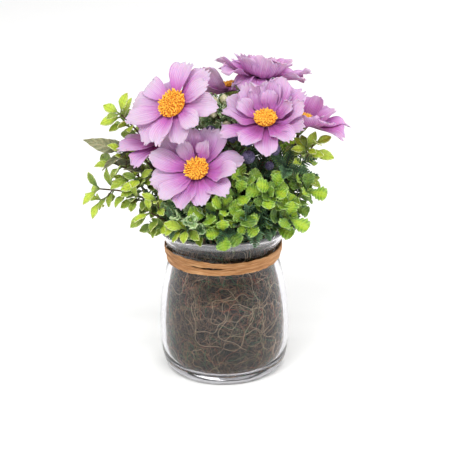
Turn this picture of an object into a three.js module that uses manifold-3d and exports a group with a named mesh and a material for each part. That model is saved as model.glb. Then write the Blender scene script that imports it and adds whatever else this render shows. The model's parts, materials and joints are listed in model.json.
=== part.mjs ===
// Chrysanthemums in a glass jar: silk blooms, leafy sprays, berries and buds on wire stems, stood in a wad of
// plant fibre inside a clear glass jar with a strip of raffia round its neck.
// Millimetres, +Z up, the camera side of the arrangement towards -Y, origin at the centre of the jar's underside.
import * as THREE from "three";
import { mergeVertices } from "three/addons/utils/BufferGeometryUtils.js";
import Module from "manifold-3d";

const wasm = await Module();
wasm.setup();

// ---------------------------------------------------------------- driving dimensions

const FIT = 0.35; // gap left between pieces that touch
const JAR = { height: 95, bodyRadius: 41.2, neckRadius: 34.6, rimRadius: 39.8, wall: 2.7, floor: 4.2, sides: 22 };
const WAD = { bottom: 4.7, top: 86, sides: 18, footDepth: 30 }; // footDepth: how far the stems reach into the wad
const RAFFIA = { thickness: 0.7, segments: 24 };
const BLOOM = {
  petals: 6, reach: 31, halfWidth: 6.8, thickness: 1.1, fold: 0.16, apart: 0, hubRadius: 5.6, discRadius: 8.2,
};
const STEM_RADIUS = 1.15;
const TWIG_RADIUS = 0.9;
const SLIVER = 0.08; // detail finer than this, which fusing leaves behind, is smoothed away
const CLEAR = 2.4; // how near the sampled points of two different pieces may come

// Blooms: centre of the hub, the way it faces, its cup in degrees, turn of its first petal, foot of its stem in the
// wad, and where petals stand up more: the middle of that stretch and its half width in degrees round the bloom, and
// the cup added there.
const BLOOMS = [
  { name: "top", at: [25, 14, 185.5], faces: [0.15, 0.14, 0.98], cup: 20, turn: 0, foot: [5, 6], raised: [[-90, 50, 46]] },
  { name: "upper_left", at: [-28.4, -10, 174], faces: [-0.46, -0.62, 0.64], cup: 23, turn: 12, foot: [-9, -4], raised: [[95, 45, -34]] },
  { name: "centre_right", at: [26.4, -14, 164.6], faces: [-0.04, -0.46, 0.89], cup: 30, turn: 0, foot: [7, -6], raised: [[90, 70, 36], [0, 30, 26]] },
  { name: "front", at: [-14.8, -26, 138], faces: [-0.18, -0.68, 0.7], cup: 28, turn: 40, foot: [-3, -14], raised: [[95, 50, 18], [-35, 30, 34]] },
  { name: "right", at: [49, 7, 157.5], faces: [0.25, 0.05, 0.96], cup: 22, turn: 0, foot: [15, 4], raised: [[-105, 45, 40], [90, 50, 26]] },
  { name: "lower_left", at: [-34.5, 1, 148.5], faces: [-0.2, -0.22, 0.95], cup: 24, turn: 20, foot: [-16, 1], raised: [[60, 50, 20]] },
  { name: "back", at: [6, 30, 172], faces: [-0.15, 0.36, 0.92], cup: 25, turn: 0, foot: [-1, 13], raised: [[-90, 60, 52]] },
];

// Leafy sprays: kind of leaf, foot of the stem in the wad, points that the stem passes through from base to tip,
// and the share of the stem's length at which its leaves begin.
const SPRAYS = [
  { name: "lance_left", leaf: "lance", foot: [-12, -10], from: 0.7, path: [[-32, -4, 116], [-50, 0, 139], [-62, 0, 143]] },
  { name: "scalloped_centre", leaf: "scalloped", foot: [5, -19], from: 0.5, path: [[9, -24, 108], [10, -27, 120], [9, -34, 125]] },
  { name: "scalloped_mid", leaf: "scalloped", foot: [12, -19], from: 0.5, path: [[14, -27, 101], [13, -31, 111], [12, -38, 115]] },
  { name: "scalloped_rim", leaf: "scalloped", foot: [6, -26], from: 0.45, path: [[5, -31, 98], [2, -38, 104], [0, -43, 105]] },
  { name: "scalloped_left", leaf: "scalloped", foot: [-3, -21], from: 0.5, path: [[-4, -28, 101], [-6, -33, 111], [-8, -39, 114]] },
  { name: "scalloped_right", leaf: "scalloped", foot: [17, -14], from: 0.52, path: [[26, -21, 108], [31, -24, 121], [31, -31, 127]] },
  { name: "scalloped_right_low", leaf: "scalloped", foot: [22, -14], from: 0.48, path: [[29, -22, 100], [36, -27, 108], [39, -33, 110]] },
  { name: "scalloped_far_right", leaf: "scalloped", foot: [24, -4], from: 0.55, path: [[38, -8, 106], [48, -11, 116], [51, -15, 120]] },
  { name: "pointed_left", leaf: "pointed", foot: [-21, -5], from: 0.55, path: [[-38, -8, 108], [-58, -7, 118], [-76, -5, 120]] },
  { name: "pointed_left_high", leaf: "pointed", foot: [-22, 4], from: 0.6, path: [[-40, 2, 112], [-54, -3, 129], [-66, -4, 136]] },
  { name: "pointed_left_top", leaf: "pointed", foot: [-16, 9], from: 0.72, path: [[-34, 16, 118], [-50, 13, 148], [-62, 8, 164]] },
  { name: "pointed_left_mid", leaf: "pointed", foot: [-18, -9], from: 0.5, path: [[-32, -14, 108], [-46, -12, 120], [-55, -10, 129]] },
  { name: "pointed_left_low", leaf: "pointed", foot: [-20, -14], from: 0.5, path: [[-32, -24, 104], [-44, -27, 112]] },
  { name: "pointed_rim", leaf: "pointed", foot: [-11, -22], from: 0.5, path: [[-14, -30, 100], [-22, -40, 106]] },
  { name: "pointed_right_high", leaf: "pointed", foot: [22, 7], from: 0.6, path: [[38, 6, 112], [49, -1, 132], [56, -5, 147]] },
  { name: "pointed_back_left", leaf: "pointed", foot: [-15, 18], from: 0.58, path: [[-34, 34, 108], [-50, 44, 126]] },
  { name: "scalloped_back_right", leaf: "scalloped", foot: [15, 17], from: 0.6, path: [[33, 32, 108], [44, 42, 124]] },
  { name: "scalloped_back", leaf: "scalloped", foot: [0, 23], from: 0.6, path: [[-2, 42, 108], [-6, 52, 126]] },
  { name: "fern_right", leaf: "fern", foot: [13, -9], from: 0.62, path: [[26, -9, 112], [36, -7, 128], [42, -5, 142]] },
  { name: "fern_rim", leaf: "fern", foot: [17, -22], from: 0.5, path: [[18, -30, 101], [20, -36, 107]] },
  { name: "fern_back", leaf: "fern", foot: [8, 21], from: 0.72, path: [[14, 40, 108], [20, 50, 120]] },
  { name: "frilly_left", leaf: "frilly", foot: [-13, -17], from: 0.55, path: [[-17, -27, 104], [-22, -35, 113]] },
  { name: "frilly_top", leaf: "frilly", foot: [2, -1], from: 0.75, path: [[5, -2, 120], [5, -2, 148], [6, -4, 165]] },
  { name: "frilly_mid", leaf: "frilly", foot: [-5, 8], from: 0.75, path: [[-6, 6, 120], [-9, 5, 144], [-9, 4, 160]] },
];

// Kinds of leaf. Outline pairs: share of the leaf's length, and of its half width; the first stretch is its stalk.
const LEAVES = {
  pointed: {
    length: 14.5, halfWidth: 3.1, apart: 1.6, thickness: 1, fold: 0.18, curl: -30, spacing: 8.5, lean: 62, tip: 3,
    outline: [[0, 0], [0.44, 1], [0.74, 0.84], [1, 0]],
  },
  scalloped: {
    length: 13.5, halfWidth: 4.6, apart: 1.6, thickness: 1, fold: 0.22, curl: -16, spacing: 7.5, lean: 62, tip: 3,
    outline: [[0, 0], [0.44, 0.8], [0.54, 0.72], [0.76, 1], [0.85, 0.74], [1, 0]],
  },
  lance: {
    length: 24, halfWidth: 4.2, apart: 1.6, thickness: 1.1, fold: 0.2, curl: -14, spacing: 11, lean: 50, tip: 1,
    outline: [[0, 0], [0.34, 1], [0.64, 0.82], [1, 0]],
  },
  fern: {
    length: 23, halfWidth: 5, apart: 1.2, thickness: 1.1, fold: 0.1, sweep: 0.75, curl: -24, spacing: 9, lean: 46, tip: 1,
    outline: [[0, 0], [0.13, 0.95], [0.2, 0.25], [0.27, 1], [0.36, 0.22], [0.42, 0.88], [0.51, 0.18], [0.56, 0.66],
      [0.66, 0.14], [0.7, 0.42], [0.78, 0.1], [1, 0]],
  },
  frilly: {
    length: 9.5, halfWidth: 3.6, apart: 1.2, thickness: 1, fold: 0.3, sweep: 0.2, curl: 20, spacing: 6.5, lean: 58, tip: 3,
    outline: [[0, 0], [0.42, 0.9], [0.54, 0.5], [0.78, 1], [1, 0]],
  },
};

// Picks that carry berries or buds: foot, the stem's points, and the balls, each with its place and its radii.
const PICKS = [
  {
    name: "berries_centre", finish: "berry", foot: [6, -13], path: [[9, -13, 112], [9, -10, 134], [7, -9, 146]],
    balls: [[15.5, -14, 152.8, 4], [15.7, -20, 144, 4], [-6.5, -10, 157.5, 3.4], [6.5, -8, 153, 3.6]],
  },
  {
    name: "berries_right", finish: "berry", foot: [10, 0], path: [[20, -4, 112], [27, -7, 130], [30, -8, 138]],
    balls: [[31, -15, 147, 4.2], [28.5, -18, 137.8, 2.7], [36.5, -1, 150, 3.2]],
  },
  {
    name: "buds_centre", finish: "bud", foot: [-4, 3], path: [[-4, 2, 118], [-2, 3, 142], [-1, 3, 158]],
    balls: [[-4, 5, 172, 2.4], [1.5, 5, 173.5, 2.4], [-5, 0, 165.5, 2.3], [3, -5, 160, 2.4]],
  },
  {
    name: "buds_top", finish: "bud", foot: [0, 8], path: [[4, 10, 122], [9, 10, 150], [12, 9, 170]],
    balls: [[11, 9, 181, 2.4], [17, 0, 179, 2.2]],
  },
];

// ---------------------------------------------------------------- small helpers

const vec = (p) => new THREE.Vector3(p[0], p[1], p[2]);
const rad = THREE.MathUtils.degToRad;

// An even spread of values from 0 to 1, the same on every run.
function draw(index, salt) {
  const x = index * 0.6180339887 + salt * 0.7548776662;
  return x - Math.floor(x);
}

function toSolid(geometry) {
  const bare = new THREE.BufferGeometry().setAttribute("position", geometry.getAttribute("position"));
  bare.setIndex(geometry.index);
  const merged = mergeVertices(bare, 1e-4);
  const from = merged.index.array;
  const kept = [];
  for (let i = 0; i < from.length; i += 3) {
    const [a, b, c] = [from[i], from[i + 1], from[i + 2]];
    if (a !== b && b !== c && c !== a) kept.push(a, b, c);
  }
  const solidFrom = (triangles) =>
    new wasm.Manifold(
      new wasm.Mesh({
        numProp: 3,
        vertProperties: new Float32Array(merged.attributes.position.array),
        triVerts: new Uint32Array(triangles),
      }),
    );
  const made = solidFrom(kept);
  if (made.volume() > 0) return made;
  for (let i = 0; i < kept.length; i += 3) [kept[i + 1], kept[i + 2]] = [kept[i + 2], kept[i + 1]];
  return solidFrom(kept);
}

function toGeometry(solid) {
  const mesh = solid.getMesh();
  const position = new Float32Array(mesh.numVert * 3);
  for (let i = 0; i < mesh.numVert; i++) {
    position.set(mesh.vertProperties.subarray(i * mesh.numProp, i * mesh.numProp + 3), i * 3);
  }
  const geometry = new THREE.BufferGeometry().setAttribute("position", new THREE.BufferAttribute(position, 3));
  geometry.setIndex(new THREE.BufferAttribute(new Uint32Array(mesh.triVerts), 1));
  geometry.computeVertexNormals();
  return geometry;
}

function meshOf(position, faces) {
  const geometry = new THREE.BufferGeometry();
  geometry.setAttribute("position", new THREE.BufferAttribute(new Float32Array(position), 3));
  geometry.setIndex(faces);
  return geometry;
}

const join = (solids) => solids.reduce((whole, next) => whole.add(next));

// The largest connected body of pieces fused into one: a scrap that fusing leaves loose is dropped.
function fuse(solids) {
  const bodies = join(solids).asOriginal().simplify(SLIVER).decompose();
  return bodies.reduce((best, next) => (next.volume() > best.volume() ? next : best));
}

function revolve(profile, sides) {
  const points = profile.map(([r, z]) => new THREE.Vector2(r, z));
  return new THREE.LatheGeometry(points, sides).rotateX(Math.PI / 2);
}

// A route through given stations, each of which becomes one section of a tube.
class Route extends THREE.Curve {
  constructor(stations) {
    super();
    this.stations = stations;
  }

  getPointAt(u) {
    const place = u * (this.stations.length - 1);
    const before = Math.min(Math.floor(place), this.stations.length - 2);
    return this.stations[before].clone().lerp(this.stations[before + 1], place - before);
  }

  getTangentAt(u) {
    const step = 0.5 / (this.stations.length - 1);
    return this.getPointAt(Math.min(u + step, 1)).sub(this.getPointAt(Math.max(u - step, 0))).normalize();
  }
}

function tube(stations, radius, sides) {
  const section = new THREE.Shape();
  for (let i = 0; i < sides; i++) {
    const a = (i / sides) * 2 * Math.PI;
    section[i ? "lineTo" : "moveTo"](radius * Math.cos(a), radius * Math.sin(a));
  }
  section.closePath();
  return new THREE.ExtrudeGeometry(section, { steps: stations.length - 1, extrudePath: new Route(stations) });
}

// A frame whose X runs along a blade, Y across it and Z out of its upper face.
function bladeFrame(at, along, up) {
  const x = along.clone().normalize();
  const y = up.clone().cross(x).normalize();
  const z = x.clone().cross(y);
  return new THREE.Matrix4().makeBasis(x, y, z).setPosition(at);
}

// ---------------------------------------------------------------- blades: petals and leaves

// The stations of a blade's centreline. Each holds its place along X and Z, the lean of the blade there and half its width.
function bladeLine(stations) {
  let [x, z] = [stations[0].s, 0];
  return stations.map((station, i) => {
    if (i) {
      const before = stations[i - 1];
      const mean = (before.lean + station.lean) / 2;
      x += (station.s - before.s) * Math.cos(mean);
      z += (station.s - before.s) * Math.sin(mean);
    }
    return { x, z, lean: station.lean, half: station.half };
  });
}

// A point of a blade: across runs from -1 at one edge to 1 at the other, raise is the height above the middle line.
// The edges stand up by the fold and forward by the sweep.
function bladePoint(line, across, { fold, sweep = 0 }, raise) {
  const up = fold * line.half * Math.abs(across) + raise;
  const ahead = sweep * line.half * Math.abs(across);
  const [cos, sin] = [Math.cos(line.lean), Math.sin(line.lean)];
  return new THREE.Vector3(line.x + ahead * cos - up * sin, across * line.half, line.z + ahead * sin + up * cos);
}

// A closed blade with a rib along its middle above and below, thin at its edges. It starts as the upright end of
// its rib and closes to a point at its last station.
function bladeSolid(stations, shape, frame) {
  const lines = bladeLine(stations);
  const [root, tip] = [lines.shift(), lines.pop()];
  const half = shape.thickness / 2;
  const corners = lines.flatMap((line) => [
    bladePoint(line, -1, shape, 0),
    bladePoint(line, 0, shape, half),
    bladePoint(line, 1, shape, 0),
    bladePoint(line, 0, shape, -half),
  ]);
  const [rootTop, rootUnder, end] = [corners.length, corners.length + 1, corners.length + 2];
  corners.push(bladePoint(root, 0, shape, half), bladePoint(root, 0, shape, -half), bladePoint(tip, 0, shape, 0));
  const faces = [rootTop, 0, 1, rootTop, 1, 2, rootUnder, 3, 0, rootUnder, 2, 3];
  faces.push(rootTop, rootUnder, 0, rootTop, 2, rootUnder);
  for (let ring = 0; ring + 1 < lines.length; ring++) {
    const [a, b] = [4 * ring, 4 * ring + 4];
    // Each quad is cut from its edge corner, alike above and below.
    faces.push(a, b, b + 1, a, b + 1, a + 1, a + 2, b + 1, b + 2, a + 2, a + 1, b + 1);
    faces.push(a, b + 3, b, a, a + 3, b + 3, a + 2, b + 2, b + 3, a + 2, b + 3, a + 3);
  }
  const last = 4 * (lines.length - 1);
  for (let i = 0; i < 4; i++) faces.push(last + i, end, last + ((i + 1) % 4));
  return toSolid(meshOf(corners.flatMap((p) => p.applyMatrix4(frame).toArray()), faces));
}

// Points spread over a blade, by which pieces keep clear of each other.
function bladeSamples(stations, shape, frame) {
  const lines = bladeLine(stations);
  const samples = [];
  for (let i = 1; i < lines.length; i++) {
    for (const share of [0.5, 1]) {
      const line = {};
      for (const key of ["x", "z", "lean", "half"]) {
        line[key] = THREE.MathUtils.lerp(lines[i - 1][key], lines[i][key], share);
      }
      for (const across of [-1, -0.5, 0, 0.5, 1]) {
        samples.push(bladePoint(line, across, shape, 0).applyMatrix4(frame));
      }
    }
  }
  return samples;
}

// ---------------------------------------------------------------- keeping pieces apart

const taken = []; // sampled points of every piece placed so far, each with its owner and whether it is a leaf's

function take(points, owner, leaf = false) {
  for (const point of points) taken.push({ point, owner, leaf });
}

// Whether a point lies in the jar's wall or lip, in the wad, or under the wad's top.
function inJar(point) {
  const r = Math.hypot(point.x, point.y);
  return point.z < JAR.height + 2 && r > JAR.neckRadius - 6 && r < JAR.rimRadius + 2.5
    || point.z < WAD.top + 3 && r <= JAR.neckRadius - 6;
}

// Whether points keep clear of every other piece, and by their own distance of the leaves already on the same stem.
function isClear(points, owner, own) {
  if (points.some(inJar)) return false;
  return !taken.some((other) => {
    const gap = other.owner !== owner ? CLEAR : other.leaf ? own : 0;
    return gap > 0 && points.some((point) => point.distanceToSquared(other.point) < gap * gap);
  });
}

// ---------------------------------------------------------------- jar, wad and raffia

function jarSolid() {
  const { height, bodyRadius, neckRadius, rimRadius, wall, floor } = JAR;
  const bead = 2; // radius of the rounded lip
  const beadAt = [rimRadius - bead, height - bead];
  const lip = [-0.15, 0.25, 0.6, 1.05].map((turn) => [
    beadAt[0] + bead * Math.cos(turn * Math.PI),
    beadAt[1] + bead * Math.sin(turn * Math.PI),
  ]);
  return toSolid(revolve([
    [0, 0], [34, 0], [38.6, 1.8], [bodyRadius - 0.2, 7.5], [bodyRadius, 28], [bodyRadius - 1.6, 48],
    [bodyRadius - 4.6, 64], [neckRadius, 73.5], [neckRadius, 82], [neckRadius + 1.7, 84.5],
    ...lip,
    [neckRadius - wall, 81], [neckRadius - wall, 73],
    [bodyRadius - 4.6 - wall, 62.5], [bodyRadius - 1.6 - wall, 47], [bodyRadius - wall, 28],
    [bodyRadius - wall, 10], [33.5, floor], [0, floor],
  ], JAR.sides));
}

// Radius of the fibre wad at a height: it fills the jar loosely, narrows into the neck and rounds off at its foot.
const WAD_PROFILE = [[4.7, 30], [7, 33.4], [13, 35.2], [28, 35.8], [44, 34.6], [58, 32.4], [68, 30], [78, 29.2], [85, 28.4]];

function wadRadius(z) {
  const above = WAD_PROFILE.findIndex(([height]) => height >= z);
  if (above <= 0) return above ? WAD_PROFILE.at(-1)[1] : WAD_PROFILE[0][1];
  const [[z0, r0], [z1, r1]] = [WAD_PROFILE[above - 1], WAD_PROFILE[above]];
  return THREE.MathUtils.mapLinear(z, z0, z1, r0, r1);
}

// A tangled strand that lies half sunk in the wad's surface: it winds round from one height to another, with a sway.
function strandPoints(index) {
  const turn = draw(index, 1) * 2 * Math.PI;
  const rise = THREE.MathUtils.lerp(8, 22, draw(index, 2));
  const low = THREE.MathUtils.lerp(12, 50, draw(index, 3));
  const sweep = THREE.MathUtils.lerp(0.5, 1.3, draw(index, 4));
  return Array.from({ length: 6 }, (_, i) => {
    const share = i / 5;
    const z = low + rise * share + 3 * Math.sin(share * 7 + index);
    const r = wadRadius(z) + (i % 5 ? 0.1 : -1.5);
    const a = turn + sweep * share;
    return new THREE.Vector3(r * Math.cos(a), r * Math.sin(a), z);
  });
}

function wadSolid(holes) {
  const rough = (k, salt) => 0.8 * (draw(k, salt) - 0.5);
  const { sides } = WAD;
  const rings = [...WAD_PROFILE, [WAD.top, 20]];
  const position = [0, 0, WAD.bottom];
  rings.forEach(([z, r], ring) => {
    for (let i = 0; i < sides; i++) {
      const a = ((i + 0.5 * (ring % 2)) / sides) * 2 * Math.PI;
      const at = r + rough(i * 7 + ring * 13, 5);
      position.push(at * Math.cos(a), at * Math.sin(a), ring ? z + rough(i * 5 + ring * 3, 6) : z);
    }
  });
  position.push(0, 0, WAD.top + 0.6);
  const top = rings.length * sides + 1;
  const faces = [];
  for (let i = 0; i < sides; i++) {
    const next = (i + 1) % sides;
    faces.push(0, 1 + next, 1 + i);
    for (let ring = 0; ring + 1 < rings.length; ring++) {
      const [low, high] = [1 + ring * sides, 1 + (ring + 1) * sides];
      const ahead = ring % 2;
      if (ahead) faces.push(low + i, low + next, high + next, low + i, high + next, high + i);
      else faces.push(low + i, low + next, high + i, low + next, high + next, high + i);
    }
    faces.push(top, top - sides + i, top - sides + next);
  }
  const strands = Array.from({ length: 6 }, (_, i) => toSolid(tube(strandPoints(i), 0.8, 3)));
  return fuse([toSolid(meshOf(position, faces)), ...strands]).subtract(join(holes));
}

// One turn of the raffia strip: a flat band round the neck, a little higher on one side than on the other.
function raffiaTurn({ inner, middle, tilt, highAt, width }) {
  const { thickness, segments } = RAFFIA;
  const position = [];
  const faces = [];
  for (let i = 0; i < segments; i++) {
    const a = (i / segments) * 2 * Math.PI;
    const z = middle + tilt * Math.cos(a - highAt) + 0.25 * Math.sin(3 * a + highAt);
    for (const [r, up] of [[inner, -1], [inner + thickness, -1], [inner + thickness, 1], [inner, 1]]) {
      position.push(r * Math.cos(a), r * Math.sin(a), z + (up * width) / 2);
    }
    const [here, next] = [4 * i, 4 * ((i + 1) % segments)];
    for (let k = 0; k < 4; k++) {
      const j = (k + 1) % 4;
      faces.push(here + k, here + j, next + j, here + k, next + j, next + k);
    }
  }
  return toSolid(meshOf(position, faces));
}

// ---------------------------------------------------------------- stems

const wadHoles = []; // what the stems need cut out of the wad

// A stem's route: straight up out of the wad at its foot, then through the points given.
function stemCurve(foot, path) {
  const [x, y] = foot;
  return new THREE.CatmullRomCurve3([[x, y, WAD.top - 8], [x, y, WAD.top + 2], ...path].map(vec));
}

// A stem, which also leaves its hole to be cut in the wad.
function stemSolid(foot, path, radius, steps, sides) {
  const [x, y] = foot;
  const bottom = WAD.top - WAD.footDepth;
  const risen = stemCurve(foot, path).getSpacedPoints(steps).filter((p) => p.z > WAD.top + 5);
  const straight = [new THREE.Vector3(x, y, bottom), new THREE.Vector3(x, y, WAD.top + 2)];
  const wide = (radius + FIT) / Math.cos(Math.PI / sides);
  const hole = new THREE.CylinderGeometry(wide, wide, 40, sides).rotateX(Math.PI / 2);
  wadHoles.push(toSolid(hole.translate(x, y, bottom - FIT + 20)));
  return toSolid(tube([...straight, ...risen], radius, sides));
}

function takeStem(foot, path, owner) {
  const curve = stemCurve(foot, path);
  take(curve.getSpacedPoints(60).filter((p) => p.z > WAD.top), owner);
  return curve;
}

// ---------------------------------------------------------------- blooms

// The stations of a petal: flat under the disc, then bent up by the cup, then easing outwards again.
function petalStations(cup, size) {
  const reach = BLOOM.reach * size;
  const half = BLOOM.halfWidth * size;
  return [
    { s: 3, half: 0, lean: 0 },
    { s: 9.5, half: 0.5 * half, lean: rad(3) },
    { s: 0.56 * reach, half: 0.94 * half, lean: cup },
    { s: 0.86 * reach, half: 0.92 * half, lean: cup - rad(10) },
    { s: reach, half: 0, lean: cup - rad(18) },
  ];
}

// Ways to move a petal that would touch something: added cup and turn in degrees, the smallest first.
const PETAL_MOVES = [[0, 0], [8, 0], [0, 9], [0, -9], [-8, 0], [16, 0], [10, 9], [10, -9], [-14, 9], [-14, -9], [24, 0],
  [18, 14], [18, -14], [32, 0], [28, 14], [28, -14], [40, 0], [48, 0], [40, 16], [40, -16], [56, 0]];

function bloomFrame({ at, faces }) {
  const z = vec(faces).normalize();
  const x = new THREE.Vector3(1, 0, 0).addScaledVector(z, -z.x).normalize();
  return new THREE.Matrix4().makeBasis(x, z.clone().cross(x), z).setPosition(vec(at));
}

function petalFrame(frame, turn, height, roll) {
  const place = new THREE.Matrix4().makeRotationZ(turn);
  place.multiply(new THREE.Matrix4().makeTranslation(0, 0, height));
  place.multiply(new THREE.Matrix4().makeRotationX(roll));
  return frame.clone().multiply(place);
}

// How many degrees a petal stands up beyond its bloom's cup, by where it grows round the bloom.
function raisedBy({ raised }, around) {
  return raised.reduce((sum, [middle, reach, cup]) => {
    const away = Math.abs(THREE.MathUtils.euclideanModulo(around - middle + 180, 360) - 180);
    return sum + cup * Math.max(0, 1 - away / (1.6 * reach));
  }, 0);
}

function petalsSolid(bloom, index) {
  const frame = bloomFrame(bloom);
  const { petals, hubRadius } = BLOOM;
  const hub = new THREE.CylinderGeometry(hubRadius, hubRadius, 2.6, 9).rotateX(Math.PI / 2).translate(0, 0, -0.3);
  const pieces = [toSolid(hub.applyMatrix4(frame))];
  for (let i = 0; i < 2 * petals; i++) {
    const layer = i < petals ? 0 : 1;
    const size = THREE.MathUtils.lerp(0.9, 1.04, draw(i, 3 * index + 1));
    const stray = THREE.MathUtils.lerp(-3, 3, draw(i, 3 * index + 2));
    const roll = rad(THREE.MathUtils.lerp(-4, 4, draw(i, 3 * index + 3)));
    const around = bloom.turn + ((i + 0.5 * layer) * 360) / petals;
    const cup = bloom.cup - 14 * layer + stray + raisedBy(bloom, around);
    for (const [raise, swing] of PETAL_MOVES) {
      const stations = petalStations(rad(Math.min(cup + raise, 80)), size);
      const place = petalFrame(frame, rad(around + swing), layer ? -1 : 0.4, roll);
      if (placeBlade(pieces, stations, BLOOM, place, bloom.name)) break;
    }
  }
  return fuse(pieces);
}

// Tries a blade at a place. Where it clears every other piece it is added to the pieces.
function placeBlade(pieces, stations, shape, place, owner) {
  const samples = bladeSamples(stations, shape, place).slice(5);
  if (!isClear(samples, owner, shape.apart)) return false;
  const blade = bladeSolid(stations, shape, place);
  if (!keepsClear(blade)) return false;
  pieces.push(blade);
  take(samples, owner, true);
  return true;
}

// The domed centre: rows of florets as knobs on a dome, with a hollow at its middle.
function discSolid(bloom) {
  const sides = 12;
  const rows = [[0.88, 1.8], [1, 2.8], [0.84, 4.4], [0.56, 5], [0.3, 4.6]];
  const position = [0, 0, 1.75];
  rows.forEach(([share, z], row) => {
    for (let i = 0; i < sides; i++) {
      const knob = row && (i + row) % 2 ? 0.5 : 0;
      const a = ((i + 0.5 * row) / sides) * 2 * Math.PI;
      const r = BLOOM.discRadius * share + knob;
      position.push(r * Math.cos(a), r * Math.sin(a), z + knob);
    }
  });
  position.push(0, 0, 4.2);
  const last = rows.length * sides + 1;
  const faces = [];
  for (let i = 0; i < sides; i++) {
    const next = (i + 1) % sides;
    faces.push(0, 1 + next, 1 + i);
    for (let row = 0; row + 1 < rows.length; row++) {
      const [low, high] = [1 + row * sides, 1 + (row + 1) * sides];
      faces.push(low + i, low + next, high + i, low + next, high + next, high + i);
    }
    faces.push(last, last - sides + i, last - sides + next);
  }
  return toSolid(meshOf(position, faces).applyMatrix4(bloomFrame(bloom)));
}

// The stem's points end just inside the green cup that holds the petals from behind.
function bloomPath({ at, faces, foot }) {
  const centre = vec(at);
  const back = vec(faces).normalize().negate();
  const behind = centre.clone().addScaledVector(back, 24);
  const end = centre.clone().addScaledVector(back, 4);
  const low = new THREE.Vector3(foot[0], foot[1], WAD.top + 4).lerp(behind, 0.5);
  return [low, behind, end].map((p) => p.toArray());
}

const CALYX = [[0, -8.2], [1.7, -8.2], [3.9, -4.2], [4.6, -2.1], [0, -2.1]];

function bloomStem(bloom) {
  const cup = toSolid(revolve(CALYX, 8).applyMatrix4(bloomFrame(bloom)));
  return fuse([stemSolid(bloom.foot, bloomPath(bloom), STEM_RADIUS, 9, 5), cup]);
}

// ---------------------------------------------------------------- leafy sprays

// Ways to move a leaf that would touch something: turn about the stem and added lean in degrees, the smallest first.
const LEAF_MOVES = [[0, 0], [22, 0], [-22, 0], [0, 20], [0, -16], [44, 8], [-44, 8], [66, 0], [-66, 0], [90, 12], [-90, 12]];

// The places of a spray's leaves: pairs up the stem, each pair turned a quarter from the last, and some at the tip.
function leafPlaces(length, from, { spacing, lean, tip }) {
  const places = [];
  let pair = 0;
  for (let s = from * length; s < length - 2; s += spacing) {
    places.push({ u: s / length, about: 90 * pair, lean }, { u: s / length, about: 90 * pair + 180, lean });
    pair += 1;
  }
  for (let i = 0; i < tip; i++) places.push({ u: 1, about: 30 + (360 / tip) * i, lean: tip > 1 ? 42 : 4 });
  return places;
}

function leafStations({ outline, length, halfWidth, curl }, size) {
  return outline.map(([s, half]) => ({ s: s * length * size, half: half * halfWidth * size, lean: rad(curl) * s }));
}

function leafFrame(curve, u, about, lean) {
  const at = curve.getPointAt(Math.min(u, 0.995));
  const tangent = curve.getTangentAt(Math.min(u, 0.995));
  const side = tangent.clone().cross(new THREE.Vector3(0.3, -0.2, 1)).normalize();
  side.applyAxisAngle(tangent, rad(about));
  const along = tangent.clone().multiplyScalar(Math.cos(rad(lean))).addScaledVector(side, Math.sin(rad(lean)));
  const up = tangent.clone().multiplyScalar(Math.sin(rad(lean))).addScaledVector(side, -Math.cos(rad(lean)));
  const light = new THREE.Vector3(0.004 * at.x, at.y < 15 ? -0.8 : 0.8, 0.5);
  return bladeFrame(at, along, up.lerp(light, 0.66));
}

function spraySolid(spray, curve, salt) {
  const kind = LEAVES[spray.leaf];
  const pieces = [stemSolid(spray.foot, spray.path, TWIG_RADIUS, 7, 4)];
  leafPlaces(curve.getLength(), spray.from, kind).forEach((place, i) => {
    const stations = leafStations(kind, THREE.MathUtils.lerp(0.78, 1.1, draw(i, salt)));
    const stray = 24 * (draw(i, salt + 31) - 0.5);
    for (const [swing, tilt] of LEAF_MOVES) {
      const frame = leafFrame(curve, place.u, place.about + stray + swing, place.lean + tilt);
      if (placeBlade(pieces, stations, kind, frame, spray.name)) break;
    }
  });
  return fuse(pieces);
}

// ---------------------------------------------------------------- berries and buds

// A berry or a bud: a ball drawn out a little along its stalk, with its foot on the stalk's end.
function ballSolid(at, radius, from) {
  const ball = new THREE.SphereGeometry(radius, 7, 5).scale(1, 1.15, 1);
  const aim = new THREE.Quaternion().setFromUnitVectors(new THREE.Vector3(0, 1, 0), at.clone().sub(from).normalize());
  return toSolid(ball.applyQuaternion(aim).translate(at.x, at.y, at.z));
}

// A stalk leaves the stem some way below the ball's own height and bows out to it.
function stalkPoints(curve, at) {
  const spaced = curve.getSpacedPoints(40);
  const start = spaced.reduce((best, p) => (Math.abs(p.distanceTo(at) - 15) < Math.abs(best.distanceTo(at) - 15) ? p : best));
  const middle = start.clone().lerp(at, 0.5).add(new THREE.Vector3(0, 0, -1));
  return [start, middle, at.clone()];
}

function pickSolid(pick, curve) {
  const pieces = [stemSolid(pick.foot, pick.path, TWIG_RADIUS, 7, 4)];
  for (const [x, y, z, radius] of pick.balls) {
    const at = new THREE.Vector3(x, y, z);
    const stalk = stalkPoints(curve, at);
    pieces.push(toSolid(tube(stalk, 0.8, 3)));
    pieces.push(ballSolid(at, radius, stalk[1]));
  }
  return fuse(pieces);
}

function takePick(pick) {
  const curve = takeStem(pick.foot, pick.path, pick.name);
  for (const [x, y, z, radius] of pick.balls) {
    const at = new THREE.Vector3(x, y, z);
    const [start, middle] = stalkPoints(curve, at);
    take([start, middle, middle.clone().lerp(at, 0.5), middle.clone().lerp(start, 0.5)], pick.name);
    const shell = new THREE.SphereGeometry(radius, 6, 5).translate(x, y, z).getAttribute("position");
    take(Array.from({ length: shell.count }, (_, i) => new THREE.Vector3().fromBufferAttribute(shell, i)), pick.name);
  }
  return curve;
}

// ---------------------------------------------------------------- the arrangement

const root = new THREE.Group();
const finished = []; // solids of the finished nodes, by which a later blade is tested

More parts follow.
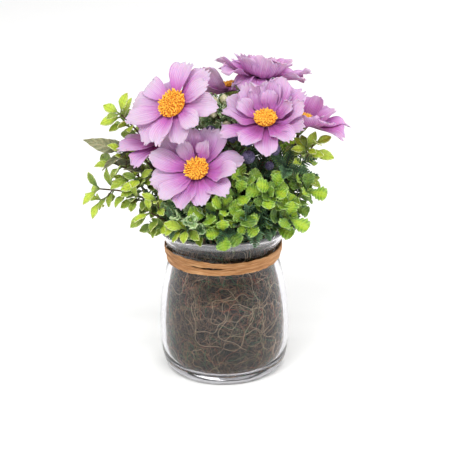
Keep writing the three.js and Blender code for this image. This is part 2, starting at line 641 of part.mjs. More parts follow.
const FINISH = {
  glass: new THREE.MeshStandardMaterial({ color: 0xe8efee, roughness: 0.05, transparent: true, opacity: 0.3 }),
  fibre: new THREE.MeshStandardMaterial({ color: 0x5b4f3c, roughness: 0.95 }),
  raffia: new THREE.MeshStandardMaterial({ color: 0xc08a55, roughness: 0.7 }),
  petal: new THREE.MeshStandardMaterial({ color: 0xcf8fd8, roughness: 0.75 }),
  disc: new THREE.MeshStandardMaterial({ color: 0xf29a12, roughness: 0.85 }),
  stem: new THREE.MeshStandardMaterial({ color: 0x4d3f2c, roughness: 0.7 }),
  pointed: new THREE.MeshStandardMaterial({ color: 0x9db53a, roughness: 0.55 }),
  scalloped: new THREE.MeshStandardMaterial({ color: 0x86a52c, roughness: 0.55 }),
  lance: new THREE.MeshStandardMaterial({ color: 0x6d7355, roughness: 0.6 }),
  fern: new THREE.MeshStandardMaterial({ color: 0x2f5a44, roughness: 0.6 }),
  frilly: new THREE.MeshStandardMaterial({ color: 0x8fae7c, roughness: 0.65 }),
  berry: new THREE.MeshStandardMaterial({ color: 0x5a5078, roughness: 0.7 }),
  bud: new THREE.MeshStandardMaterial({ color: 0xc8c4a0, roughness: 0.75 }),
};

// Whether a blade's solid stays out of every finished node.
function keepsClear(solid) {
  const box = solid.boundingBox();
  return finished.every(({ other, bounds }) =>
    [0, 1, 2].some((k) => box.min[k] > bounds.max[k] + FIT || box.max[k] < bounds.min[k] - FIT)
    || solid.minGap(other, FIT) > 0.75 * FIT);
}

function addNode(name, solid, material) {
  const mesh = new THREE.Mesh(toGeometry(solid), material);
  mesh.name = name;
  root.add(mesh);
  finished.push({ other: solid, bounds: solid.boundingBox() });
}

addNode("jar", jarSolid(), FINISH.glass);
const lowerTurn = { inner: 35.1, middle: 76.2, tilt: 0.7, highAt: 0.4, width: 5.2 };
const upperTurn = { inner: 36.2, middle: 80, tilt: 0.6, highAt: 2.2, width: 4.6 };
addNode("raffia_lower_turn", raffiaTurn(lowerTurn), FINISH.raffia);
addNode("raffia_upper_turn", raffiaTurn(upperTurn), FINISH.raffia);

// Every stem claims its room first, so that petals and leaves are laid round them.
for (const bloom of BLOOMS) takeStem(bloom.foot, bloomPath(bloom), bloom.name);
const sprayCurves = SPRAYS.map((spray) => takeStem(spray.foot, spray.path, spray.name));
const pickCurves = PICKS.map(takePick);

for (const bloom of BLOOMS) addNode(`stem_${bloom.name}`, bloomStem(bloom), FINISH.stem);
for (const bloom of BLOOMS) addNode(`disc_${bloom.name}`, discSolid(bloom), FINISH.disc);
PICKS.forEach((pick, i) => addNode(pick.name, pickSolid(pick, pickCurves[i]), FINISH[pick.finish]));
BLOOMS.forEach((bloom, i) => addNode(`petals_${bloom.name}`, petalsSolid(bloom, i), FINISH.petal));
SPRAYS.forEach((spray, i) => {
  addNode(`spray_${spray.name}`, spraySolid(spray, sprayCurves[i], 20 + i), FINISH[spray.leaf]);
});
addNode("fibre_wad", wadSolid(wadHoles), FINISH.fibre);

export default root;
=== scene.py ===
"""The looks of the chrysanthemums in a glass jar: cloth blooms, leafy sprays, berries, buds and plant fibre.

Sizes are in millimetres and every mesh is scaled to metres when it is finished. Petals and leaves stand where
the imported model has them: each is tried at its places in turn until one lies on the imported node's surface.
"""

from __future__ import annotations

import json
import logging
import math
from dataclasses import dataclass, field
from enum import Enum
from typing import Callable, Iterable, Sequence, Union

import bmesh
import bpy
from mathutils import Matrix, Vector, noise
from mathutils.bvhtree import BVHTree

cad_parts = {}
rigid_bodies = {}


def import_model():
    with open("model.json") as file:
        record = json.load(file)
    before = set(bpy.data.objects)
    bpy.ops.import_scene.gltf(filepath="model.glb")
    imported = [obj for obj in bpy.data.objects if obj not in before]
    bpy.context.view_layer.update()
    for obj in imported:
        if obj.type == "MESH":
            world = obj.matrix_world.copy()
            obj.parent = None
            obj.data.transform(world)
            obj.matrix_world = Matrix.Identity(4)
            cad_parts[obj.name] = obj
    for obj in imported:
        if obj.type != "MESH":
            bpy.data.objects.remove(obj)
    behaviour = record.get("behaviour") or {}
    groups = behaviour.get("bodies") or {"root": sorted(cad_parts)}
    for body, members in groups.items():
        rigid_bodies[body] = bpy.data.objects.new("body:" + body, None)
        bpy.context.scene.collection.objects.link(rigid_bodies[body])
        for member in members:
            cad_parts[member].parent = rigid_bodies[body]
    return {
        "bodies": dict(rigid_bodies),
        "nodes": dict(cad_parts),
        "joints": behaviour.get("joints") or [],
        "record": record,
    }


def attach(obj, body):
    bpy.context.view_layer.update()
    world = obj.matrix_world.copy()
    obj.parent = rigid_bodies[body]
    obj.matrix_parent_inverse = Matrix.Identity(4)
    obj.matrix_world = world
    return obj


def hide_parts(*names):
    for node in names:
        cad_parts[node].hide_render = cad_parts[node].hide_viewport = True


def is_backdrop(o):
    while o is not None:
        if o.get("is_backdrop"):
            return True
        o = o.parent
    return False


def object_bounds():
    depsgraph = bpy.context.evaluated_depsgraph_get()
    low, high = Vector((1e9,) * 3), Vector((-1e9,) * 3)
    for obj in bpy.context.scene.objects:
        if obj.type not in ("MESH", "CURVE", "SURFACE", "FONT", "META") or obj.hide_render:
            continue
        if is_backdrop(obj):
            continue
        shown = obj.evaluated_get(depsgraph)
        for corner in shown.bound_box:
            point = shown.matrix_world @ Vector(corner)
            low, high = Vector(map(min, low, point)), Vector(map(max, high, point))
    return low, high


LOG = logging.getLogger("jar_of_chrysanthemums")
MM = 0.001

Colour = tuple[float, float, float, float]
Pair = tuple[float, float]
Triple = tuple[float, float, float]
Material = bpy.types.Material
Mesh = bmesh.types.BMesh


# ---- small maths


def draw(index: float, salt: float) -> float:
    """An even spread of values from 0 to 1, the same on every run, with a series of its own for each salt."""
    return (index * 0.6180339887 + salt * 0.7548776662) % 1.0


def chance(index: float, series: float) -> float:
    """A scattered value from 0 to 1 that is the same on every run and owes nothing to another series."""
    value = math.sin(index * 12.9898 + series * 78.233 + 1.7) * 43758.5453
    return value - math.floor(value)


def lerp(low: float, high: float, share: float) -> float:
    """The value at a share of the way from low to high."""
    return low + (high - low) * share


def smooth(low: float, high: float, value: float) -> float:
    """0 up to low, 1 from high on, and a soft step between them."""
    share = min(max((value - low) / (high - low), 0.0), 1.0)
    return share * share * (3 - 2 * share)


def along_table(table: Sequence[Pair], place: float, soft: bool = True) -> float:
    """A value read from a table of places and values.

    Args:
        table: pairs of a place and its value, with places rising.
        place: where to read.
        soft: whether the value eases between two places, or runs straight.

    Returns:
        The value at the place.
    """
    if place <= table[0][0]:
        return table[0][1]
    for (x0, y0), (x1, y1) in zip(table, table[1:]):
        if place <= x1:
            share = (place - x0) / (x1 - x0)
            return lerp(y0, y1, smooth(0, 1, share) if soft else share)
    return table[-1][1]


def colour(code: str) -> Colour:
    """The linear colour of a screen colour.

    Args:
        code: six hexadecimal digits, red first.

    Returns:
        Red, green, blue and alpha in linear light.
    """
    parts = [int(code[i : i + 2], 16) / 255 for i in (0, 2, 4)]
    linear = [p / 12.92 if p <= 0.04045 else ((p + 0.055) / 1.055) ** 2.4 for p in parts]
    return (linear[0], linear[1], linear[2], 1.0)


def basis(x: Vector, y: Vector, z: Vector, at: Vector) -> Matrix:
    """The matrix of a frame.

    Args:
        x: its first axis.
        y: its second axis.
        z: its third axis.
        at: its origin.

    Returns:
        The matrix from the frame to the object.
    """
    matrix = Matrix((x, y, z)).transposed().to_4x4()
    matrix.translation = at
    return matrix


class StemCurve:
    """A soft curve through a stem's points, read by its length."""

    STEPS = 200
    NEAR = 1e-4

    def __init__(self, points: Sequence[Triple]) -> None:
        """Measures the curve.

        Args:
            points: the points that the stem passes through, in millimetres.
        """
        self.points = [Vector(p) for p in points]
        traced = [self.point(i / self.STEPS) for i in range(self.STEPS + 1)]
        self.lengths = [0.0]
        for before, after in zip(traced, traced[1:]):
            self.lengths.append(self.lengths[-1] + (after - before).length)
        self.length = self.lengths[-1]

    def point(self, t: float) -> Vector:
        """The curve's point at a share of its spans.

        Args:
            t: 0 at the first point, 1 at the last.

        Returns:
            The point.
        """
        last = len(self.points) - 1
        span = min(int(t * last), last - 1)
        share = t * last - span
        p1, p2 = self.points[span], self.points[span + 1]
        p0 = self.points[span - 1] if span else 2 * p1 - p2
        p3 = self.points[span + 2] if span + 2 <= last else 2 * p2 - p1
        d0, d1, d2 = ((b - a).length ** 0.5 for a, b in ((p0, p1), (p1, p2), (p2, p3)))
        t1 = ((p1 - p0) / d0 - (p2 - p0) / (d0 + d1) + (p2 - p1) / d1) * d1
        t2 = ((p2 - p1) / d1 - (p3 - p1) / (d1 + d2) + (p3 - p2) / d2) * d1
        c2 = -3 * p1 + 3 * p2 - 2 * t1 - t2
        c3 = 2 * p1 - 2 * p2 + t1 + t2
        return p1 + t1 * share + c2 * share**2 + c3 * share**3

    def _share(self, u: float) -> float:
        """Turns a share of the length into a share of the spans.

        Args:
            u: the share of the length.

        Returns:
            The share of the spans.
        """
        goal = u * self.length
        for i in range(self.STEPS):
            if self.lengths[i + 1] >= goal:
                part = (goal - self.lengths[i]) / max(self.lengths[i + 1] - self.lengths[i], 1e-9)
                return (i + part) / self.STEPS
        return 1.0

    def at(self, u: float) -> Vector:
        """The point at a share of the length."""
        return self.point(self._share(u))

    def tangent(self, u: float) -> Vector:
        """The way the curve runs at a share of its length."""
        t = self._share(u)
        return (self.point(min(t + self.NEAR, 1.0)) - self.point(max(t - self.NEAR, 0.0))).normalized()

    def spaced(self, count: int) -> list[Vector]:
        """Points at even distances, both ends included."""
        return [self.at(i / count) for i in range(count + 1)]


# ---- shader nodes

Feed = Union["Socket", float, int, Sequence[float]]


class Socket:
    """A node's output, on which Python's operators build Math nodes."""

    def __init__(self, shader: "Shader", output: bpy.types.NodeSocket) -> None:
        """Wraps an output of the shader's node tree."""
        self.shader = shader
        self.output = output

    def _math(self, operation: str, *values: Feed) -> "Socket":
        """A Math node on the given values."""
        node = self.shader.node("ShaderNodeMath", {"operation": operation}, dict(enumerate(values)))
        return Socket(self.shader, node.outputs[0])

    def __add__(self, other: Feed) -> "Socket":
        """This value plus another."""
        return self._math("ADD", self, other)

    def __radd__(self, other: Feed) -> "Socket":
        """Another value plus this."""
        return self._math("ADD", other, self)

    def __sub__(self, other: Feed) -> "Socket":
        """This value less another."""
        return self._math("SUBTRACT", self, other)

    def __rsub__(self, other: Feed) -> "Socket":
        """Another value less this."""
        return self._math("SUBTRACT", other, self)

    def __mul__(self, other: Feed) -> "Socket":
        """This value times another."""
        return self._math("MULTIPLY", self, other)

    def __rmul__(self, other: Feed) -> "Socket":
        """Another value times this."""
        return self._math("MULTIPLY", other, self)

    def __pow__(self, other: Feed) -> "Socket":
        """This value to a power."""
        return self._math("POWER", self, other)

    def __abs__(self) -> "Socket":
        """This value without its sign."""
        return self._math("ABSOLUTE", self)

    def sine(self) -> "Socket":
        """The sine of this value."""
        return self._math("SINE", self)

    def step(self, low: float, high: float) -> "Socket":
        """A soft step between two values.

        Args:
            low: up to here it is 0.
            high: from here on it is 1. It may lie under low.

        Returns:
            The step.
        """
        node = self.shader.node(
            "ShaderNodeMapRange",
            {"interpolation_type": "SMOOTHSTEP"},
            {"Value": self, "From Min": low, "From Max": high},
        )
        return Socket(self.shader, node.outputs[0])


class Shader:
    """One material's node tree and the short ways to fill it."""

    FIRST_COLOUR, SECOND_COLOUR, MIXED_COLOUR = 6, 7, 2

    def __init__(self, name: str) -> None:
        """Starts a material with a Principled shader.

        Args:
            name: the material's name.
        """
        self.material = bpy.data.materials.new(name)
        self.material.use_nodes = True
        self.tree = self.material.node_tree
        self.surface = self.tree.nodes["Principled BSDF"]

    def node(self, kind: str, settings: dict[str, object], inputs: dict[object, Feed]) -> bpy.types.Node:
        """Adds a node.

        Args:
            kind: the node's type.
            settings: its properties, with the stops of a ramp under "stops".
            inputs: values or links for its sockets, by name or number.

        Returns:
            The node.
        """
        made = self.tree.nodes.new(kind)
        for key, value in settings.items():
            if key == "stops":
                self._stops(made.color_ramp, value)
            else:
                setattr(made, key, value)
        for key, value in inputs.items():
            self.feed(made.inputs[key], value)
        return made

    @staticmethod
    def _stops(ramp: bpy.types.ColorRamp, stops: Sequence[tuple[float, Colour]]) -> None:
        """Sets the stops of a colour ramp.

        Args:
            ramp: the ramp.
            stops: the place and the colour of each stop.
        """
        while len(ramp.elements) < len(stops):
            ramp.elements.new(0.5)
        for element, (place, shade) in zip(ramp.elements, stops):
            element.position = place
            element.color = shade

    def feed(self, socket: bpy.types.NodeSocket, value: Feed) -> None:
        """Links a socket, or sets its own value.

        Args:
            socket: an input of a node.
            value: what it gets.
        """
        if isinstance(value, Socket):
            self.tree.links.new(value.output, socket)
        else:
            socket.default_value = value

    def place(self) -> Socket:
        """The place on the object in metres."""
        return Socket(self, self.node("ShaderNodeTexCoord", {}, {}).outputs["Object"])

    def uv(self) -> tuple[Socket, Socket]:
        """The place on a blade.

        Returns:
            The place along it from 0 to 1, and the place across it from 0 to 1.
        """
        made = self.node("ShaderNodeUVMap", {"uv_map": "blade"}, {})
        parts = self.node("ShaderNodeSeparateXYZ", {}, {0: Socket(self, made.outputs[0])})
        return Socket(self, parts.outputs[0]), Socket(self, parts.outputs[1])

    def attribute(self, name: str) -> Socket:
        """A value that is kept on the mesh."""
        return Socket(self, self.node("ShaderNodeAttribute", {"attribute_name": name}, {}).outputs["Fac"])

    def stretched(self, where: Socket, scale: Triple) -> Socket:
        """A place scaled along its axes, for a pattern with a grain."""
        return Socket(self, self.node("ShaderNodeMapping", {}, {"Vector": where, "Scale": scale}).outputs[0])

    def joined(self, x: Feed, y: Feed, z: Feed) -> Socket:
        """A place made of three values."""
        return Socket(self, self.node("ShaderNodeCombineXYZ", {}, {0: x, 1: y, 2: z}).outputs[0])

    def noise(self, where: Socket, scale: float, detail: float = 3.0, rough: float = 0.55) -> Socket:
        """Cloudy noise from 0 to 1 at a place."""
        inputs = {"Vector": where, "Scale": scale, "Detail": detail, "Roughness": rough}
        return Socket(self, self.node("ShaderNodeTexNoise", {}, inputs).outputs[0])

    def cells(self, where: Socket, scale: float) -> Socket:
        """The distance to the nearest of scattered points."""
        made = self.node("ShaderNodeTexVoronoi", {}, {"Vector": where, "Scale": scale})
        return Socket(self, made.outputs["Distance"])

    def ramp(self, value: Socket, *stops: tuple[float, str]) -> Socket:
        """A colour picked by a value between stops of colour codes."""
        shades = [(place, colour(code)) for place, code in stops]
        return Socket(self, self.node("ShaderNodeValToRGB", {"stops": shades}, {0: value}).outputs[0])

    def mix(self, share: Feed, first: Union[Socket, str], second: Union[Socket, str]) -> Socket:
        """A mix of two colours.

        Args:
            share: how much of the second it has, from 0 to 1.
            first: a colour, as a socket or as a code.
            second: the other colour.

        Returns:
            The mixed colour.
        """
        feeds = [colour(c) if isinstance(c, str) else c for c in (first, second)]
        inputs = {0: share, self.FIRST_COLOUR: feeds[0], self.SECOND_COLOUR: feeds[1]}
        made = self.node("ShaderNodeMix", {"data_type": "RGBA"}, inputs)
        return Socket(self, made.outputs[self.MIXED_COLOUR])

    def bump(self, height: Socket, depth: float, strength: float = 1.0) -> None:
        """Feeds the surface's normal with a relief.

        Args:
            height: the relief from 0 to 1.
            depth: how deep it is, in millimetres.
            strength: the bump's strength.
        """
        inputs = {"Strength": strength, "Distance": depth * MM, "Height": height}
        made = self.node("ShaderNodeBump", {}, inputs)
        self.feed(self.surface.inputs["Normal"], Socket(self, made.outputs[0]))

    def finish(self, base: Feed, roughness: Feed, **constants: float) -> Material:
        """Sets the surface and gives the material.

        Args:
            base: its colour.
            roughness: its roughness.
            constants: other sockets of the shader, with words joined by underscores.

        Returns:
            The material.
        """
        self.feed(self.surface.inputs["Base Color"], base)
        self.feed(self.surface.inputs["Roughness"], roughness)
        for key, value in constants.items():
            self.surface.inputs[key.replace("_", " ").title().replace("Ior", "IOR")].default_value = value
        return self.material


# ---- finishes


@dataclass(frozen=True)
class PetalCloth:
    """Stamped cloth: deep at the throat, lilac along the petal and greyed at the tip, with fine veins."""

    throat: str = "882C78"
    middle: str = "C064B8"
    outer: str = "D0A0CF"
    tip: str = "CFB7CE"
    vein: str = "A656A4"
    pale: str = "DFCBDF"
    # edge is a painted shade along the petal's curled sides.
    edge: str = "A07CA6"
    veins: float = 92.0

    def build(self) -> Material:
        """Makes the material.

        Returns:
            The material.
        """
        sh = Shader("petal_cloth")
        u, v = sh.uv()
        tone = sh.attribute("tone")
        where = sh.place()
        blotch = sh.noise(where, 190.0, 3.0)
        streak = sh.noise(sh.joined(u * 1.6, v * 17.0, tone * 40.0), 1.0, 3.0)
        place = u + (blotch - 0.5) * 0.16 + (streak - 0.5) * 0.3 + (0.5 - tone) * 0.5
        base = sh.ramp(place, (0.1, self.throat), (0.36, self.middle), (0.64, self.outer), (0.95, self.tip))
        wave = (v * self.veins + (streak - 0.5) * 6.0).sine() * 0.5 + 0.5
        base = sh.mix((wave**4.0) * u.step(1.05, 0.2) * 0.5, base, self.vein)
        base = sh.mix(((1.0 - wave) ** 4.0) * u.step(0.2, 0.6) * 0.35, base, self.pale)
        # Painted shade: a darker band along the petal's sides.
        base = sh.mix((abs(v - 0.5) * 2.0).step(0.86, 1.0) * 0.35, base, self.edge)
        weave = sh.noise(where, 2600.0, 2.0)
        sh.bump(wave * 0.5 + streak * 0.9 + weave * 0.3, 0.3, 0.8)
        soft = {"subsurface_weight": 0.15, "subsurface_scale": 0.002, "sheen_weight": 0.1}
        return sh.finish(base, 0.6 + weave * 0.2, **soft)


@dataclass(frozen=True)
class LeafPlastic:
    """A moulded leaf: deep by the rib, fresh further out, with a light margin, pressed veins and painted shade
    and highlight.
    """

    name: str
    # deep is the leaf's own dark green and the colour of its painted shade.
    deep: str
    fresh: str
    margin: str
    vein: str
    gloss: float = 0.42
    mottle: float = 0.2
    spread: float = 0.55
    side_veins: float = 34.0
    rimmed: float = 0.6
    # glow is the colour of a painted highlight down the middle of lit leaves.
    glow: str = "B4CA24"
    painted_highlight_share: float = 0.45

    def build(self) -> Material:
        """Makes the material.

        Returns:
            The material.
        """
        sh = Shader(self.name)
        u, v = sh.uv()
        # tone is the leaf's painted light: low in painted shade inside the bunch, high on a lit leaf.
        tone = sh.attribute("tone")
        where = sh.place()
        aside = abs(v - 0.5) * 2.0
        cloud = sh.noise(where, 420.0, 4.0)
        lit = tone * 0.8 + 0.25
        # Painted shade and light: deep green where the tone is low, fresh green on lit leaves, towards the tip
        # and the sides.
        fresh = tone * self.spread + cloud * 0.4 + aside * 0.15 + u * 0.25
        base = sh.mix(fresh.step(0.25, 1.15), self.deep, self.fresh)
        # Painted highlight of yellow-green down the middle of a lit leaf.
        base = sh.mix(aside.step(0.8, 0.1) * tone * self.painted_highlight_share, base, self.glow)
        edge = (aside + u.step(0.72, 1.02) * 0.3 + (cloud - 0.5) * 0.3).step(0.76, 1.08)
        # The leaf's own light margin, dimmed by the painted shade.
        base = sh.mix(edge * (tone * 0.5 + 0.5) * self.rimmed, base, self.margin)
        ribs = (u * self.side_veins - aside * 7.0).sine() * 0.5 + 0.5
        rib = aside.step(0.16, 0.02)
        base = sh.mix(rib * lit * 0.5, base, self.vein)
        base = sh.mix((ribs**5.0) * lit * 0.4, base, self.vein)
        # Painted shade in the grooves between the side veins.
        base = sh.mix(((1.0 - ribs) ** 3.0) * aside.step(0.15, 0.8) * 0.45, base, self.deep)
        base = sh.mix(sh.noise(where, 1300.0, 2.0).step(0.5, 0.72) * self.mottle, base, self.deep)
        # Painted shade towards the stalk.
        base = sh.mix(u.step(0.55, 0.12) * 0.65, base, self.deep)
        sh.bump(ribs * 0.8 - rib * 0.9 + cloud * 0.5, 0.3, 0.8)
        return sh.finish(base, self.gloss + cloud * 0.25, subsurface_weight=0.1, subsurface_scale=0.0015)


@dataclass(frozen=True)
class Bark:
    """A wire stem wrapped in paper: brown or green with lengthwise scuffs."""

    name: str
    dark: str
    light: str

    def build(self) -> Material:
        """Makes the material.

        Returns:
            The material.
        """
        sh = Shader(self.name)
        where = sh.place()
        grain = sh.noise(sh.stretched(where, (1.0, 1.0, 0.25)), 1500.0, 3.0)
        cloud = sh.noise(where, 180.0, 2.0)
        base = sh.mix((grain * 0.7 + cloud * 0.5).step(0.35, 0.85), self.dark, self.light)
        sh.bump(grain, 0.2, 0.8)
        return sh.finish(base, 0.62 + grain * 0.25)


@dataclass(frozen=True)
class Pollen:
    """The disc's florets: painted shade of deep orange in the gaps and low on each floret, yellow on their
    heads.
    """

    # shade is the painted shade's colour, in the gaps between the florets.
    shade: str = "C47000"
    body: str = "F7A00C"
    head: str = "FFCC45"

    def build(self) -> Material:
        """Makes the material.

        Returns:
            The material.
        """
        sh = Shader("pollen")
        tone = sh.attribute("tone")
        grain = sh.noise(sh.place(), 1900.0, 2.0)
        base = sh.ramp(tone + (grain - 0.5) * 0.4, (0.05, self.shade), (0.45, self.body), (0.9, self.head))
        sh.bump(grain, 0.2, 0.8)
        return sh.finish(base, 0.75 + grain * 0.15, sheen_weight=0.2)


@dataclass(frozen=True)
class Skin:
    """The skin of a berry or a bud: two tones in cloudy patches, under specks of bloom or down."""

    name: str
    dark: str
    light: str
    speck: str
    specks: float
    gloss: float

    def build(self) -> Material:
        """Makes the material.

        Returns:
            The material.
        """
        sh = Shader(self.name)
        where = sh.place()
        cloud = sh.noise(where, 330.0, 4.0)
        base = sh.mix(cloud.step(0.32, 0.68), self.dark, self.light)
        grit = sh.cells(where, 1300.0)
        base = sh.mix(grit.step(0.32, 0.1) * self.specks, base, self.speck)
        sh.bump(grit.step(0.1, 0.5) + cloud * 0.6, 0.18, 0.7)
        return sh.finish(base, self.gloss + cloud * 0.3)


@dataclass(frozen=True)
class Fibre:
    """Dry plant fibre in one of its tones."""

    name: str
    dark: str
    light: str

    def build(self) -> Material:
        """Makes the material.

        Returns:
            The material.
        """
        sh = Shader(self.name)
        where = sh.place()
        cloud = sh.noise(where, 120.0, 3.0)
        grain = sh.noise(where, 1400.0, 3.0)
        base = sh.mix((cloud * 0.6 + grain * 0.6).step(0.4, 0.8), self.dark, self.light)
        sh.bump(grain, 0.25, 0.6)
        return sh.finish(base, 0.85)


@dataclass(frozen=True)
class Raffia:
    """Dyed raffia: long fibres side by side in orange-tan tones."""

    dark: str = "74481F"
    body: str = "B27A45"
    light: str = "D9AC7C"

    def build(self) -> Material:
        """Makes the material.

        Returns:
            The material.
        """
        sh = Shader("raffia")
        u, v = sh.uv()
        fibre = sh.noise(sh.joined(u * 26.0, v * 15.0, 0.0), 1.0, 4.0, 0.65)
        broad = sh.noise(sh.joined(u * 9.0, v * 3.0, 4.0), 1.0, 2.0)
        base = sh.ramp(fibre * 0.75 + broad * 0.3, (0.36, self.dark), (0.52, self.body), (0.68, self.light))
        sh.bump(fibre, 0.4, 0.9)
        return sh.finish(base, 0.5 + fibre * 0.25)


@dataclass(frozen=True)
class ClearGlass:
    """Clear pressed glass with a soft waviness; a milkier copy paints a whitish highlight on rounded parts."""

    name: str = "clear_glass"
    tint: str = "F3F2F6"
    # Below 1 the glass turns a little milky, which paints a whitish highlight.
    clearness: float = 1.0

    def build(self) -> Material:
        """Makes the material.

        Returns:
            The material.
        """
        sh = Shader(self.name)
        where = sh.place()
        wave = sh.noise(sh.stretched(where, (1.0, 1.0, 0.5)), 45.0, 2.0)
        sh.bump(wave, 0.5, 0.35)
        return sh.finish(colour(self.tint), 0.0, transmission_weight=self.clearness, ior=1.34)


@dataclass(frozen=True)
class Paper:
    """The plain pale floor."""

    def build(self) -> Material:
        """Makes the material."""
        sh = Shader("pale_floor")
        return sh.finish(sh.mix(sh.noise(sh.place(), 30.0, 2.0), "FCFCFB", "FEFEFD"), 0.9)


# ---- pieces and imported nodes


def finish_piece(
    name: str,
    bm: Mesh,
    finishes: Sequence[Material],
    slot: str,
    nodes: Sequence[str],
    crease: float = 50.0,
) -> None:
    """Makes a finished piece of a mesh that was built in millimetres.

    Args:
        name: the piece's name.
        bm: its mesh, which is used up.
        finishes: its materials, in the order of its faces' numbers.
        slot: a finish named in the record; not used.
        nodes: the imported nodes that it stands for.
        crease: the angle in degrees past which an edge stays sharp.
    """
    bmesh.ops.scale(bm, vec=(MM, MM, MM), verts=bm.verts)
    mesh = bpy.data.meshes.new(name)
    bm.to_mesh(mesh)
    bm.free()
    mesh.polygons.foreach_set("use_smooth", [True] * len(mesh.polygons))
    mesh.set_sharp_from_angle(angle=math.radians(crease))
    for material in finishes:
        mesh.materials.append(material)
    piece = bpy.data.objects.new(name, mesh)
    bpy.context.scene.collection.objects.link(piece)
    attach(piece, "root")
    if nodes:
        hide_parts(*nodes)
    LOG.info("%s: %d faces", name, len(mesh.polygons))


WELD = 0.004
THIN = 0.5


def point_out(bm: Mesh) -> None:
    """Joins points nearer than WELD and turns every face of a closed mesh outwards.

    Args:
        bm: the mesh.
    """
    bmesh.ops.remove_doubles(bm, verts=bm.verts, dist=WELD)
    bmesh.ops.recalc_face_normals(bm, faces=bm.faces)
    if bm.calc_volume(signed=True) < 0:
        bmesh.ops.reverse_faces(bm, faces=bm.faces)


def thicken(bm: Mesh, thickness: float) -> None:
    """Turns open sheets into closed ones, half the thickness to each side.

    Args:
        bm: the sheets' mesh.
        thickness: how thick they become.
    """
    mesh = bpy.data.meshes.new("sheet")
    bm.to_mesh(mesh)
    holder = bpy.data.objects.new("sheet", mesh)
    bpy.context.scene.collection.objects.link(holder)
    wall = holder.modifiers.new("wall", "SOLIDIFY")
    wall.thickness = thickness
    wall.offset = 0.0
    graph = bpy.context.evaluated_depsgraph_get()
    bm.clear()
    bm.from_mesh(holder.evaluated_get(graph).to_mesh())
    bpy.data.objects.remove(holder)
    bpy.data.meshes.remove(mesh)


def spin_round(bm: Mesh, corners: Sequence[bmesh.types.BMVert], steps: int) -> None:
    """Joins vertices to a line and spins it a full turn about the upright axis.

    Args:
        bm: the mesh that holds them.
        corners: the line's vertices.
        steps: how many faces go round.
    """
    edges = [bm.edges.new(pair) for pair in zip(corners, corners[1:])]
    turn = {"cent": (0, 0, 0), "axis": (0, 0, 1), "angle": 2 * math.pi, "steps": steps, "use_merge": True}
    bmesh.ops.spin(bm, geom=[*corners, *edges], **turn)


def spun(profile: Sequence[Pair], steps: int) -> Mesh:
    """A closed shape turned about the upright axis.

    Args:
        profile: radius and height of each point, which starts and ends on the axis.
        steps: how many faces go round.

    Returns:
        The mesh in millimetres.
    """
    bm = bmesh.new()
    corners = [bm.verts.new((r, 0.0, z)) for r, z in profile]
    spin_round(bm, corners, steps)
    point_out(bm)
    return bm


def add_tubes(
    bm: Mesh,
    routes: Sequence[Sequence[Vector]],
    radius: float,
    material: int = 0,
    taper: float = 1.0,
) -> None:
    """Adds a closed round tube along each route. Below THIN a tube has fewer sides.

    Args:
        bm: the mesh that gets the tubes.
        routes: the points of each tube in millimetres.
        radius: its radius at its start.
        material: the number of its finish.
        taper: the share of the radius that is left at its end.
    """
    curve = bpy.data.curves.new("route", "CURVE")
    curve.dimensions = "3D"
    curve.bevel_depth = radius
    curve.bevel_resolution = 0 if radius < THIN else 1
    curve.use_fill_caps = True
    for route in routes:
        spline = curve.splines.new("POLY")
        spline.points.add(len(route) - 1)
        for i, (point, place) in enumerate(zip(spline.points, route)):
            point.co = (*place, 1.0)
            point.radius = lerp(1.0, taper, i / (len(route) - 1))
    holder = bpy.data.objects.new("route", curve)
    mesh = holder.to_mesh()
    before = len(bm.faces)
    bm.from_mesh(mesh)
    bm.faces.ensure_lookup_table()
    for face in bm.faces[before:]:
        face.material_index = material
    holder.to_mesh_clear()
    bpy.data.objects.remove(holder)
    bpy.data.curves.remove(curve)


class PackedNode:
    """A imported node's surface, which is asked whether a blade lies on it."""

    REACH = 4.0
    WITHIN = 0.9

    def __init__(self, source: bpy.types.Object) -> None:
        """Reads the node's mesh.

        Args:
            source: the node's object in the frame.
        """
        bm = bmesh.new()
        bm.from_mesh(source.data)
        bmesh.ops.scale(bm, vec=(1 / MM, 1 / MM, 1 / MM), verts=bm.verts)
        self.tree = BVHTree.FromBMesh(bm)
        bm.free()

    def carries(self, points: Sequence[Vector]) -> bool:
        """Whether all points lie on the node or just under its surface."""
        return all((self.tree.find_nearest(p, self.REACH)[3] or self.REACH) < self.WITHIN for p in points)


class Room:
    """The room that is taken so far, by which added leaves keep clear of everything."""

    CELL = 3.0
    OVER_RIM = 3.0

    def __init__(self, low: Vector, high: Vector) -> None:
        """Starts with nothing taken.

        Args:
            low: the lowest corner that a leaf may reach.
            high: the highest corner that a leaf may reach.
        """
        self.low = low
        self.high = high
        self.cells: dict[tuple[int, int, int], list[tuple[Vector, float]]] = {}

    def _cell(self, point: Vector) -> tuple[int, int, int]:
        """The cell that a point lies in."""
        return tuple(math.floor(value / self.CELL) for value in point)

    def take(self, points: Iterable[Vector], gap: float = 0.8) -> None:
        """Marks points as taken, with the gap that others keep from them."""
        for point in points:
            self.cells.setdefault(self._cell(point), []).append((point, gap))

    def clear(self, points: Iterable[Vector]) -> bool:
        """Whether points lie inside the bounds, over the jar's rim, and clear of all that is taken.

        Args:
            points: the points of a leaf or a shoot.

        Returns:
            Whether it may stand there.
        """
        for point in points:
            if any(point[k] < self.low[k] or point[k] > self.high[k] for k in range(3)) or JAR.holds(point):
                return False
            if point.z < JAR.height + self.OVER_RIM and math.hypot(point.x, point.y) > JAR.mouth:
                return False
            x, y, z = self._cell(point)
            for i in (x - 1, x, x + 1):
                for j in (y - 1, y, y + 1):
                    for k in (z - 1, z, z + 1):
                        if any((point - other).length < gap for other, gap in self.cells.get((i, j, k), ())):
                            return False
        return True


# ---- blades: petals and leaves


@dataclass(frozen=True)
class Station:
    """A place on a blade's middle line: its distance from the start, half its width and its lean."""

    s: float
    half: float
    lean: float


